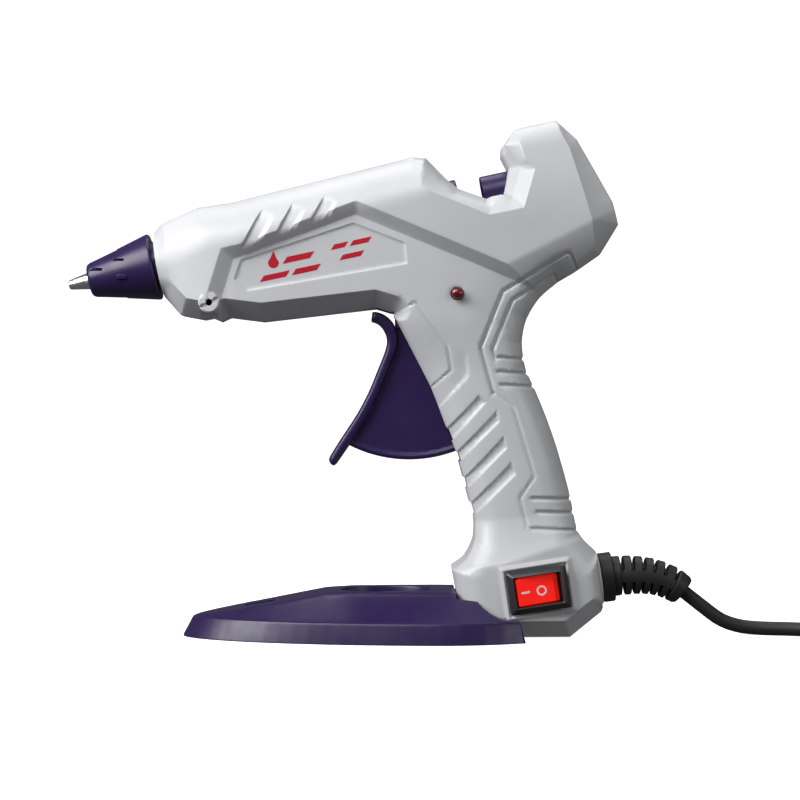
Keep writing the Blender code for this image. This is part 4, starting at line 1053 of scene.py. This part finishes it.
def build_floor():
    """A pale floor that curves up into a wall all round."""
    flat, bend, top = 1.1, 0.6, 2.4  # radius of the flat part, radius of the bend and height, in metres
    profile = [(0.6, 0.0), (flat, 0.0)]
    for turn in np.radians(range(10, 91, 10)):
        profile.append((flat + bend * math.sin(turn), bend - bend * math.cos(turn)))
    profile.append((flat + bend, top))
    verts, segments = [], 72
    for radius, height in profile:
        for i in range(segments):
            turn = 2 * math.pi * i / segments
            verts.append((radius * math.cos(turn) / MM, radius * math.sin(turn) / MM, height / MM))
    faces = [tuple(range(segments))]
    for ring in range(len(profile) - 1):
        faces += quads_between(ring * segments, (ring + 1) * segments, segments)
    finish = moulded("pale_floor", (0.86, 0.86, 0.86), (0.84, 0.84, 0.84), 0.7, grain=0.0, specular=0.1)
    light_up(finish, (1.0, 1.0, 1.0), FLOOR_GLOW)
    floor = add_mesh("floor", verts, faces, finish)
    floor.visible_diffuse = False
    floor.visible_glossy = False


def build_studio():
    """Soft light from the upper left, the front and above, with a weak fill from the right."""
    for name, place, size, power in LIGHTS:
        area_light(name, place, LIGHT_AIM_M, size, power)
    world = bpy.data.worlds.new("studio")
    world.use_nodes = True
    background = world.node_tree.nodes["Background"]
    background.inputs["Color"].default_value = (1.0, 1.0, 1.0, 1)
    background.inputs["Strength"].default_value = AMBIENT
    bpy.context.scene.world = world
    bpy.context.scene.view_settings.view_transform = "Standard"
    build_floor()


# ---- pieces ----


def stands_for(obj, body, finish, *nodes):
    """Puts a piece on its body with its finish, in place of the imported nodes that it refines."""
    if not obj.data.materials:
        obj.data.materials.append(MATERIALS[finish])
    obj.hide_render = False
    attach(obj, body)
    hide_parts(*nodes)
    return obj


def lofted(name, rings, material=None, joined=False, sharp_degrees=35):
    """A skin over equal rings of points, capped at both ends unless the last joins the first."""
    count = len(rings[0])
    verts = [point for ring in rings for point in ring]
    starts = [count * i for i in range(len(rings))]
    onward = starts[1:] + starts[:1] if joined else starts[1:]
    faces = [face for here, there in zip(starts, onward) for face in quads_between(here, there, count)]
    if not joined:
        faces += [tuple(range(count)), tuple(range(starts[-1], starts[-1] + count))]
    return add_mesh(name, verts, faces, material, sharp_degrees)


def rounded_rectangle(width, height, corner, steps=5):
    """Points round a rectangle with rounded corners, about its middle."""
    points = []
    for quarter, (u, v) in enumerate(((1, 1), (-1, 1), (-1, -1), (1, -1))):
        for i in range(steps + 1):
            turn = math.radians(90 * (quarter + i / steps))
            x = u * (width / 2 - corner) + corner * math.cos(turn)
            y = v * (height / 2 - corner) + corner * math.sin(turn)
            points.append((x, y))
    return points


# ---- cord ----


def relief_curve(share):
    """Middle of the strain relief, from its flange to where the cord leaves it."""
    start, end = relief_point(0), Vector(RELIEF_END)
    first = start + Vector((math.cos(RELIEF_TILT), 0, math.sin(RELIEF_TILT))) * 13
    last = end - CORD_EXIT * 9
    rest = 1 - share
    return start * rest**3 + first * 3 * share * rest**2 + last * 3 * share**2 * rest + end * share**3


def build_strain_relief():
    """The cord's bent sleeve: a flange, a disc, five ribs with a spine on each side, and an end ring."""
    profile = [(-0.054, 2.75), (-0.054, 8.5), (-0.045, 8.8), (0.05, 8.8), (0.058, 8.5), (0.062, 6.9)]
    profile += [(0.07, 7.1), (0.125, 7.1), (0.135, 6.8), (0.14, 4.4)]
    for rib, at in enumerate((0.208, 0.325, 0.452, 0.587, 0.738)):
        half, radius, core = 0.046 + 0.003 * rib, 7.0 - 0.22 * rib, 4.3 - 0.05 * rib
        profile += [(at - half, core), (at - half + 0.005, radius - 0.4), (at - half + 0.014, radius)]
        profile += [(at + half - 0.014, radius), (at + half - 0.005, radius - 0.4), (at + half, core)]
    profile += [(0.83, 4.1), (0.835, 5.6), (0.85, 6.0), (0.97, 5.6), (1.0, 5.0), (1.0, 2.55)]
    profile += [(share / 10, 2.75) for share in range(9, -1, -1)]
    rings = []
    for share, radius in profile:
        centre = relief_curve(share)
        ahead = (relief_curve(share + 0.01) - relief_curve(share - 0.01)).normalized()
        up = Vector((-ahead.z, 0, ahead.x))
        ring = []
        for i in range(64):
            turn = 2 * math.pi * i / 64
            spine = 7.2 - 1.4 * share if 0.14 <= share <= 0.83 and abs(math.sin(turn)) > 0.95 else 0.0
            reach = max(radius, spine if radius > 3 else 0.0)
            ring.append(centre + up * reach * math.cos(turn) + Vector((0, reach * math.sin(turn), 0)))
        rings.append(ring)
    relief = lofted("ribbed_strain_relief", rings, MATERIALS["black_rubber"], joined=True)
    neck_profile = [(-7.5, 2.75), (-7.5, 4.2), (1.0, 4.2), (1.0, 2.75)]
    neck = turned("relief_neck", neck_profile, relief_point(0), relief_point(1) - relief_point(0))
    applied(boolean(relief, neck, "UNION", "MANIFOLD"))
    return stands_for(relief, "gun", "black_rubber", "strain_relief")


def cord_line():
    """Middle of the cord: down to the floor, along it, round the coil in two layers and up to its plug."""
    floor = CORD_RADIUS + 0.05
    upper = floor + 2 * CORD_RADIUS + 0.05
    end = Vector(RELIEF_END)
    down = [end + CORD_EXIT * along for along in (0, 4.0, 8.5)]
    landing = [Vector((134.8, 0.0, 5.7)), Vector((141.5, -0.2, 3.3)), Vector((149.0, -1.0, floor))]
    lying = ((158.0, -3.4), (168.0, -7.4), (178.0, -12.0), (185.0, -14.4), (190.4, -15.0), (200.0, -15.1))
    start = down + landing + [Vector((x, y, floor)) for x, y in lying]
    centre = Vector((*COIL_CENTRE, 0))
    coil = []
    for i in range(COIL_STEPS * 23 // 4 + 1):
        turns = i / COIL_STEPS
        angle = 2 * math.pi * turns - math.pi / 2
        climb = np.clip((turns - 3) / 0.25, 0, 1)
        out = 6.0 * max(0.0, turns - 3.25)
        radius = COIL_RADIUS - COIL_PITCH * min(turns, 3) + out
        lift = 2.0 * np.clip((turns - 5.64) / 0.11, 0, 1) ** 2
        height = floor + (upper - floor) * climb * climb * (3 - 2 * climb) + lift
        coil.append(centre + Vector((radius * math.cos(angle), radius * math.sin(angle), height)))
    tail = [(175.8, 14.6, 10.9), (177.8, 9.7, 12.2), (180.8, 6.0, 13.5), (184.4, 2.6, 14.9)]
    tail += [(189.0, 0.2, 16.4), (194.0, -0.9, 17.3), (198.5, -1.0, 17.4)]
    return smooth_route(start + coil, 2.5) + smooth_route([coil[-1]] + [Vector(p) for p in tail], 2.0)[1:]


def build_cord():
    line = cord_line()
    curve = bpy.data.curves.new("mains_lead", "CURVE")
    curve.dimensions = "3D"
    curve.bevel_depth = CORD_RADIUS * MM
    curve.bevel_resolution = 5
    curve.use_fill_caps = True
    spline = curve.splines.new("POLY")
    spline.points.add(len(line) - 1)
    for spot, point in zip(spline.points, line):
        spot.co = (*(point * MM), 1)
    lead = bpy.data.objects.new("mains_lead", curve)
    bpy.context.scene.collection.objects.link(lead)
    stands_for(lead, "gun", "black_rubber", "mains_cord", "cord_coil", "cord_tail")
    build_strain_relief()
    build_tie()
    build_plug()
    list(build_plug_pins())


def build_tie():
    """A rounded strap over the coil at its far side."""
    x, y = COIL_CENTRE[0], COIL_CENTRE[1] + 27.5
    half, top, thick, bend = 10.7, 10.8, 1.0, 3.0
    section = []
    for grow, side in ((thick, 1), (0.0, -1)):
        corner = bend + grow
        arch = [(side * (half + grow), 0.0)]
        for i in range(7):
            turn = math.radians(15 * i)
            reach = half - bend + corner * math.cos(turn)
            arch.append((side * reach, top - bend + corner * math.sin(turn)))
        arch += [(-u, v) for u, v in reversed(arch)]
        section += arch
    rings = [[Vector((x + across, y + u, v)) for u, v in section] for across in (-3.5, 3.5)]
    tie = bevelled(lofted("coil_strap", rings, MATERIALS["black_plastic"]), 0.3, 2)
    return stands_for(applied(tie), "gun", "black_plastic", "cord_tie")


def build_plug():
    """A flat two-pin plug with a ribbed neck."""
    sections = [(0, 3.6, 3.6), (0.5, 4.6, 4.4)]
    for rib in range(4):
        at = 1.2 + 1.7 * rib
        root = (4.7 + 0.25 * rib, 4.5 + 0.2 * rib)
        crest = (5.3 + 0.3 * rib, 5.0 + 0.2 * rib)
        sections += [(at, *root), (at + 0.2, *crest), (at + 0.9, *crest), (at + 1.1, *root)]
    sections += [(9.0, 6.6, 5.6), (11.5, 8.2, 6.0), (14.5, 10.9, 6.5), (17.0, 12.5, 6.8), (20.0, 13.0, 6.8)]
    sections += [(32.6, 13.0, 6.8), (33.6, 12.7, 6.5), (34.0, 12.1, 5.9)]
    rings = []
    for along, half_width, half_height in sections:
        corner = min(half_width, half_height) * (0.98 if along < 9 else 0.62)
        ring = rounded_rectangle(2 * half_width, 2 * half_height, corner, 9)
        rings.append([PLUG_BACK + Vector((along, u, v)) for u, v in ring])
    plug = lofted("two_pin_plug", rings, MATERIALS["black_rubber"])
    for low in (19.5, 21.9, 24.3, 26.7):
        for side in (-1, 1):
            start = PLUG_BACK + Vector((low, side * 14.3, -9))
            groove = rod("plug_groove", start, start + Vector((0, 0, 18)), 1.75, segments=24)
            boolean(plug, groove, "DIFFERENCE", "MANIFOLD")
    return stands_for(applied(plug), "gun", "black_rubber", "plug_body")


def build_plug_pins():
    """Two round pins, each half in a black sleeve."""
    pin = [(0, 0), (0, 1.15), (10.1, 1.15), (10.1, 2.0), (17.6, 2.0), (18.3, 1.6), (18.7, 0.9), (18.7, 0)]
    sleeve = [(0, 1.25), (0, 2.0), (9.8, 2.0), (10.0, 1.8), (10.0, 1.25)]
    pieces = []
    for number, across in enumerate((-9.3, 9.3), start=1):
        base = PLUG_BACK + Vector((34.3, across, 0))
        metal_pin = turned(f"round_pin_{number}", pin, base, (1, 0, 0), MATERIALS["plug_metal"], 40)
        pieces.append(stands_for(metal_pin, "gun", "plug_metal", f"plug_pin_{number}"))
        cover = turned(f"pin_sleeve_{number}", sleeve, base, (1, 0, 0), MATERIALS["black_plastic"], 40)
        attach(cover, "gun")
        pieces.append(cover)
    return pieces


# ---- hot end and feed ----


def build_nozzle():
    outer = [(-99.1, 0.75), (-99.1, 1.35), (-98.5, 1.75), (-92.0, 3.0), (-84.0, 4.2)]
    outer += [(-79.0, 4.6), (-66.4, 4.6)]
    bore = [(-66.4, 1.6), (-96.0, 1.6), (-97.5, 0.75)]
    tip = turned("turned_nozzle", outer + bore, AXIS_POINT, ALONG, MATERIALS["aluminium"])
    stands_for(tip, "gun", "aluminium", "nozzle_tip")


def build_nozzle_cover():
    """The nozzle's sleeve, with a slot, a raised pad and a groove on its side."""
    outer = [(-91.5, 4.4), (-91.6, 5.0), (-91.2, 5.7), (-90.3, 6.2), (-79.9, 8.7)]
    outer += [(-79.6, 9.0), (-68.9, 11.8)]
    collar = [(-68.1, 11.9), (-67.5, 11.5), (-67.5, 8.9), (-60.0, 8.9), (-60.0, 8.1)]
    inner = [(-66.0, 8.1), (-66.0, 5.6), (-82.0, 5.6), (-88.0, 4.4), (-91.0, 3.6)]
    profile = outer + collar + inner
    cover = turned("nozzle_sleeve", profile, AXIS_POINT, ALONG, MATERIALS["purple_plastic"], 96)
    pad = bevelled(box("cover_pad", (-79.4, -9.7, 126.6), (-75.8, -8.0, 128.2)), 0.3)
    boolean(cover, pad, "UNION", "MANIFOLD")
    boolean(cover, box("cover_slot", (-80.8, -20.0, 133.0), (-76.9, -6.7, 133.9)), "DIFFERENCE", "MANIFOLD")
    boolean(cover, box("cover_groove", (-91.0, -20.0, 129.6), (-84.8, -5.3, 130.7)), "DIFFERENCE", "MANIFOLD")
    stands_for(applied(cover), "gun", "purple_plastic", "nozzle_cover")


def chamfered_pipe(name, start, end, outer, inner, chamfer):
    """A pipe along the barrel axis with chamfered ends."""
    profile = [(start, inner + chamfer), (start, outer - chamfer), (start + chamfer, outer)]
    profile += [(end - chamfer, outer), (end, outer - chamfer), (end, inner + chamfer)]
    profile += [(end - chamfer, inner), (start + chamfer, inner)]
    return turned(name, profile, AXIS_POINT, ALONG, MATERIALS["purple_plastic"], 72)


def build_feed():
    """The carriage that holds the gripper, and the guide that the stick slides in."""
    carriage = chamfered_pipe("stick_carriage", 17.0, 43.4, 7.75, 6.0, 0.4)
    for side in (-1, 1):
        pin_profile = [(0, 0), (0, 1.5), (4.0, 1.5), (4.3, 1.2), (4.3, 0)]
        pin_start = on_axis(CARRIAGE_PIN_AT, 0, side * 6.9)
        pin = turned("carriage_pin", pin_profile, pin_start, (0, side, 0), segments=32)
        boolean(carriage, pin, "UNION", "MANIFOLD")
        ear = axis_outline(((28, -6.4), (36, -6.4), (34, -12.2), (30, -12.2)))
        low, high = sorted((side * 3.4, side * 5.2))
        boolean(carriage, bevelled(prism("carriage_ear", ear, low, high), 0.3), "UNION", "MANIFOLD")
    window = axis_outline(((27.5, -9), (33, -9), (33, -4.5), (27.5, -4.5)))
    boolean(carriage, prism("carriage_window", window, -2.2, 2.2), "DIFFERENCE", "MANIFOLD")
    hole = rod("ear_hole", on_axis(32.0, -10.4, -7), on_axis(32.0, -10.4, 7), 1.15)
    boolean(carriage, hole, "DIFFERENCE", "MANIFOLD")
    stands_for(applied(carriage), "carriage", "purple_plastic", "feed_carriage")
    guide = chamfered_pipe("stick_tube", 52.0, 88.3, 6.8, 6.0, 0.3)
    stands_for(guide, "gun", "purple_plastic", "stick_guide")


# ---- trigger ----


def around_pivot(radius, degrees):
    """A point at a radius from the trigger pivot, turned from straight down towards the grip."""
    angle = math.radians(degrees)
    return (TRIGGER_PIVOT[0] + radius * math.sin(angle), TRIGGER_PIVOT[1] - radius * math.cos(angle))


def arm_outline(start, end, width_start, width_end):
    """A tapered strip from the pivot towards the carriage pin, between two distances."""
    pin = on_axis(CARRIAGE_PIN_AT)
    pivot = Vector(TRIGGER_PIVOT)
    direction = (Vector((pin.x, pin.z)) - pivot).normalized()
    across = Vector((-direction.y, direction.x))
    corners = ((start, -width_start), (end, -width_end), (end, width_end), (start, width_start))
    return [tuple(pivot + direction * along + across * off) for along, off in corners]


def trigger_bar_outline():
    """The finger rest seen from the side: a hook at the top, a long curve and a rounded end."""
    front = [(10.4, 111.9), (12.6, 111.1), (14.4, 109.3), (15.7, 106.5), (15.9, 103.6), (14.9, 100.1)]
    front += [(12.8, 94.8), (9.6, 87.0), (5.4, 79.0), (-0.6, 69.8), (-4.1, 64.2)]
    end = [(-4.6, 62.9), (-4.1, 61.5), (-3.0, 60.6), (-1.9, 61.3)]
    back = [(3.4, 69.0), (9.4, 78.4), (13.6, 87.0), (17.0, 95.6), (19.3, 101.5), (19.9, 106.0)]
    back += [(18.4, 110.8), (15.6, 113.7), (12.6, 115.0), (10.8, 115.0)]
    sides = [smooth_route([Vector(p) for p in run], 1.2) for run in (front, end, back)]
    return [tuple(point) for side in sides for point in side]


def rounded_plate(name, outline, half, radius, sunk=None, creases=(), material=None):
    """A plate in (x, z), the same on both sides, with a rounded rim and an optional lower part."""
    border = resampled(outline, 1.0, closed=True)

    def height(x, z):
        depth = np.clip(distance_to(x, z, border + border[:1]), 0, radius)
        rounded = half - radius + np.sqrt(radius**2 - (radius - depth) ** 2)
        return rounded - sunk(x, z) if sunk else rounded

    rings = [inset_ring(border, radius * share) for share in (0.08, 0.3, 0.6, 1.0)]
    lines = [ring + ring[:1] for ring in rings] + list(creases)
    halves = []
    for side in (-1, 1):

        def place(x, z, h, side=side):
            return (x, side * h, z)

        halves.append(raised_sheet(name, outline, height, -0.5, 1.0, lines, place, material))
    return applied(boolean(halves[0], halves[1], "UNION", "MANIFOLD"))


def web_step(x, z):
    """How much lower the web is inside the bead along its curved rim."""
    inwards = WEB_RADIUS - np.hypot(x - TRIGGER_PIVOT[0], z - TRIGGER_PIVOT[1])
    return 0.7 * (1 - soft_ramp(inwards - 1.6, 0.7, 0.1))


def build_trigger():
    """The trigger: its finger bar, a hollow web, and a fork that drives the carriage."""
    purple = MATERIALS["purple_plastic"]
    bar = rounded_plate("finger_trigger", trigger_bar_outline(), 9.0, 1.6, material=purple)
    sector = [around_pivot(WEB_RADIUS, degrees) for degrees in range(-30, 25, 2)]
    web = sector + [(32.0, 100.0), (28.6, 108.0), (26.4, 113.2), (20.0, 114.0), (17.6, 106.0)]
    web += [(17.0, 100.0), (14.6, 93.0), (10.9, 84.0), (5.8, 75.4), (2.0, 70.0)]
    bead = []
    for inset in (1.5, 1.95, 2.4):
        bead.append([around_pivot(WEB_RADIUS - inset, degrees) for degrees in range(-30, 25)])
    boolean(bar, rounded_plate("trigger_web", web, 7.3, 1.1, web_step, bead), "UNION")
    boolean(bar, prism("trigger_arm", arm_outline(0, 22, 5.0, 4.2), -7.25, 7.25), "UNION")
    yoke = bevelled(prism("trigger_yoke", arm_outline(19.5, 24.5, 4.6, 4.6), -11.2, 11.2), 0.4)
    boolean(bar, yoke, "UNION")
    for side in (-1, 1):
        low, high = sorted((side * 8.7, side * 11.2))
        boolean(bar, prism("trigger_fork", arm_outline(20, 45.2, 4.4, 3.6), low, high), "UNION")
        slot = arm_outline(38.2, 43.4, 1.85, 1.85)
        boolean(bar, prism("trigger_fork_slot", slot, low - 1, high + 1))
    pocket = [around_pivot(44.4, degrees) for degrees in range(-18, 31, 4)]
    boolean(bar, prism("trigger_pocket", pocket + [(40.0, 96.0), (29.0, 98.0), (24.0, 99.0)], -5.3, 5.3))
    x, z = TRIGGER_PIVOT
    boolean(bar, rod("trigger_bore", (x, -12, z), (x, 12, z), 1.85))
    stands_for(applied(bar), "trigger", "purple_plastic", "trigger")


# ---- switch, lamp and screws ----


def switch_at(a, b, y):
    """A point given along and across the tilted switch."""
    x, z = switch_place(a, b)
    return Vector((x, y, z))


def build_switch():
    """The rocker switch's housing: a rear block and a bezel that slopes up to a deep well."""
    sections = [(18.4, 12.3, -9.0, 0.4), (18.4, 12.3, -20.7, 0.4)]
    sections += [(21.0, 15.0, -20.7, 0.7), (21.0, 15.0, -21.1, 0.7)]
    sections += [(20.6, 14.6, -21.4, 0.7), (17.2, 11.5, -22.7, 0.5), (16.8, 11.1, -22.8, 0.5)]
    sections += [(16.2, 10.5, -22.5, 0.4), (16.0, 10.3, -21.5, 0.3), (16.0, 10.3, -12.5, 0.3)]
    rings = []
    for width, height, y, corner in sections:
        rings.append([switch_at(a, b, y) for a, b in rounded_rectangle(width, height, corner, 4)])
    body = lofted("switch_bezel", rings, MATERIALS["black_plastic"], sharp_degrees=25)
    stands_for(body, "gun", "black_plastic", "switch_body")
    section = [*ROCKER_FACE, (7.2, -18.4), (2.2, -14.2), (-2.2, -13.4), (-6.4, -17.0)]
    rings = [[switch_at(a, b, y) for a, y in section] for b in (-4.75, 4.75)]
    rocker = bevelled(lofted("red_rocker", rings, MATERIALS["red_plastic"]), 0.4, 3, 25)
    stands_for(applied(rocker), "rocker", "red_plastic", "switch_rocker")


def rocker_face(a):
    """How far out the rocker's face is, at a place along it."""
    places, heights = zip(*ROCKER_FACE)
    return float(np.interp(a, places, heights))


def rocker_mark(name, loops):
    """A thin printed mark on the rocker, between loops of (along, across, depth) points."""
    rings = [[switch_at(a, b, rocker_face(a) + depth) for a, b, depth in loop] for loop in loops]
    mark = lofted(name, rings, WHITE_PRINT, joined=len(loops) > 2)
    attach(mark, "rocker")


def build_rocker_marks():
    """The bar and the ring that mark on and off."""
    dash = [(a + ON_MARK[0], b + ON_MARK[1]) for a, b in rounded_rectangle(3.1, 0.75, 0.3)]
    rocker_mark("on_mark", [[(a, b, depth) for a, b in dash] for depth in (0.3, -0.05)])
    loops = []
    for radius, depth in ((1.75, 0.3), (1.75, -0.05), (1.2, -0.05), (1.2, 0.3)):
        turns = [2 * math.pi * i / 40 for i in range(40)]
        a0, b0 = OFF_MARK
        loops.append([(a0 + radius * math.cos(t), b0 + radius * math.sin(t), depth) for t in turns])
    rocker_mark("off_mark", loops)


def build_lamp():
    """The indicator's lens: a flange, a short barrel and a dome."""
    x, z = LED_AT
    profile = [(0, 0), (0, 2.7), (1.2, 2.7), (1.2, 2.05), (4.9, 2.05)]
    for i in range(1, 9):
        turn = math.radians(90 * i / 9)
        profile.append((4.9 + 1.5 * math.sin(turn), 2.05 * math.cos(turn)))
    lens = turned("lamp_lens", profile + [(6.4, 0)], (x, -13.6, z), (0, -1, 0), MATERIALS["red_lens"], 48)
    stands_for(lens, "gun", "red_lens", "led_lens")


def build_screws():
    """Five self-tapping screws with domed cross-slotted heads."""
    head = [(0.0, 0), (0.05, 1.2), (0.3, 2.1), (0.7, 2.75), (1.3, 3.1), (1.9, 3.1), (1.9, 1.2)]
    thread = []
    for turn in range(12):
        at = 3.4 + 1.1 * turn
        thread += [(at, 1.15), (at + 0.35, 1.45), (at + 0.5, 1.45), (at + 0.85, 1.15)]
    profile = head + thread + [(17.2, 1.1), (18.5, 0.3), (18.5, 0)]
    for number, (x, z) in enumerate(SCREWS_AT, start=1):
        screw = turned(f"cross_screw_{number}", profile, (x, 11.0, z), (0, -1, 0), MATERIALS["steel"], 40)
        for width, height in ((2.0, 0.42), (0.42, 2.0)):
            drive = box("screw_drive", (x - width, 10.0, z - height), (x + width, 12.0, z + height))
            boolean(screw, drive, "DIFFERENCE", "MANIFOLD")
        stands_for(applied(screw), "gun", "steel", f"case_screw_{number}")


# ---- stand ----


def soft_min(first, second, reach):
    """The lower of two values, with a rounded change from one to the other."""
    mix = np.clip(0.5 + 0.5 * (second - first) / reach, 0, 1)
    return second * (1 - mix) + first * mix - reach * mix * (1 - mix)


def stand_side(inset=0.0):
    """One side of the stand's outline, from its front tip to its back."""
    turns = (89, *range(86, -1, -4), 0)
    xs = [STAND_MIDDLE - STAND_FRONT * math.sin(math.radians(turn)) for turn in turns]
    xs += [STAND_MIDDLE + STAND_BACK * share for share in (0.25, 0.5, 0.75, 1.0)]
    side = []
    for x in xs:
        front = min(max((STAND_MIDDLE - x) / STAND_FRONT, 0), 1)
        back = max((x - STAND_MIDDLE) / STAND_BACK, 0)
        rounded = (1 - front**STAND_ROUNDNESS) ** (1 / STAND_ROUNDNESS)
        side.append((x, STAND_HALF_WIDTH * rounded - STAND_TAPER * back**2))
    return side_run(side, -inset) if inset else side


def mirrored(side):
    """The same run on the stand's other side."""
    return [(x, -y) for x, y in side]


def skirt_line(inset):
    """The upper edge of the stand's skirt on one side, moved inwards."""
    tip, sides = stand_side(SKIRT_LEAN[0] + inset), stand_side(SKIRT_LEAN[1] + inset)
    shares = [np.interp(x, (-57, -25), (1, 0)) for x, _ in sides]
    return [tuple(Vector(b).lerp(Vector(a), s)) for a, b, s in zip(tip, sides, shares)]


def stand_top(x, y):
    """Height of the stand: a leaning skirt, a slope above it, and a crest along the middle."""
    side = stand_side()
    edge = np.minimum(distance_to(x, y, side), distance_to(x, y, mirrored(side)))
    lean = np.interp(x, (-57, -25), SKIRT_LEAN)
    skirt = 0.5 + (SKIRT_HEIGHT - 0.5) * edge / lean
    slope = SKIRT_HEIGHT + 0.66 * (edge - lean) + 0.5
    crest = np.interp(x, (-57, -53.3, -25.4, -6, 3), (7.1, 7.5, 12.3, 16.1, 16.6))
    return soft_min(soft_min(skirt, slope, 0.5), crest, 1.0)


def tray_ring(half_length, half_width, z):
    """A level ring of the drip tray: an oval that is cut off square at the back."""
    ring = []
    for i in range(72):
        turn = 2 * math.pi * i / 72
        x = 15.8 + min(half_length * math.cos(turn), half_length * 0.955)
        ring.append(Vector((x, half_width * math.sin(turn), z)))
    return ring


def build_stand():
    """The clip-on stand: a hollow shell with a drip tray, a wire slot, a socket and two rails."""
    side = stand_side()
    outline = strip(side, mirrored(side))

    def place(x, y, z):
        return (x, y, z)

    lines = []
    for inset in (-0.4, -0.2, 0.0, 0.2, 0.4):
        run = [(x, y) for x, y in skirt_line(inset) if y > 1.0]
        lines += [run, mirrored(run)]
    purple = MATERIALS["purple_plastic"]
    stand = raised_sheet("clip_on_stand", outline, stand_top, 0.0, 1.4, lines, place, purple)

    def hollow_top(x, y):
        return np.maximum(stand_top(x, y) - 2.8, 1.0)

    hollow_side = [(x, y) for x, y in stand_side(3.6) if x > -50][::2] + [(61.0, 24.0)]
    hollow_outline = strip(hollow_side, mirrored(hollow_side))
    hollow = raised_sheet("stand_hollow", hollow_outline, hollow_top, -1.0, 6.0, [], place)
    boolean(hollow, box("socket_wall", (36.0, -23.1, -2), (80, 23.1, 30)))
    boolean(hollow, lofted("tray_floor", [tray_ring(18.5, 15.0, z) for z in (10.6, 30.0)]))
    boolean(stand, applied(hollow))
    tray = [(15.0, 11.3, 13.4), (16.0, 12.3, 13.9), (16.3, 12.6, 14.6)]
    tray += [(16.3, 12.6, 16.1), (16.8, 13.1, 16.7), (16.8, 13.1, 30.0)]
    boolean(stand, lofted("tray", [tray_ring(*ring) for ring in tray]))
    boolean(stand, box("wire_slot", (-34.4, -3.0, 9.3), (-24.0, 3.0, 20.0)))
    socket = [(37.9, 30.0), (40.0, 17.0), (43.1, -1.0), (80.0, -1.0), (80.0, 30.0)]
    boolean(stand, prism("socket", socket, -20.5, 20.5))
    bends = ((44.4, 17.4), (46.4, 15.6), (48.9, 12.2), (54.0, 8.7), (60.0, 7.2), (62.2, 6.9))
    sweep = smooth_route(bends, 1.5)
    behind = [(64.2, -1.0), (80.0, -1.0), (80.0, 40.0)]
    boolean(stand, prism("sweep", [(44.0, 40.0)] + [tuple(p) for p in sweep] + behind, -60.0, 60.0))
    for side_sign in (-1, 1):
        low, high = sorted((side_sign * 19.3, side_sign * 21.5))
        boolean(stand, box("rail", (44.5, low, 5.3), (56.0, high, 7.1)), "UNION")
    stands_for(applied(stand), "stand", "purple_plastic", "stand")


# ---- printed label ----


def slanted_bar(x, z, length, thick):
    """A bar that leans like the barrel, with slanted ends."""
    along = Vector((math.cos(AXIS_TILT), math.sin(AXIS_TILT)))
    up = Vector((math.sin(AXIS_TILT + 0.35), math.cos(AXIS_TILT + 0.35)))
    start = Vector((x, z))
    corners = (start, start + along * length, start + along * length + up * thick, start + up * thick)
    return [tuple(corner) for corner in corners]


def droplet(x, z, radius):
    """A drop with its point upwards."""
    points = []
    for i in range(28):
        turn = 2 * math.pi * i / 28
        stretch = 1 + 1.1 * max(0.0, math.sin(turn)) ** 6
        narrow = 1 - 0.35 * max(0.0, math.sin(turn)) ** 2
        points.append((x + radius * math.cos(turn) * narrow, z + radius * math.sin(turn) * stretch))
    return points


def build_label():
    """Plain red marks printed on the label panel: a drop and six bars."""
    shapes = [droplet(*LABEL_DROP)] + [slanted_bar(*bar) for bar in LABEL_BARS]

    def place(x, z, h):
        return (x, -h, z)

    def top(x, z):
        return casing_half_width(x, z, -1) + 0.06

    for number, shape in enumerate(shapes, start=1):
        mark = raised_sheet(f"label_mark_{number}", shape, top, 15.6, 1.0, [], place, RED_PRINT)
        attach(mark, "gun")


build_camera()
build_cord()
build_studio()
dress_cad_nodes()
build_nozzle()
build_nozzle_cover()
build_feed()
build_trigger()
build_switch()
build_rocker_marks()
build_lamp()
build_screws()
build_stand()
build_label()
for half in (-1, 1):
    build_casing(half, MATERIALS["silver_plastic"])
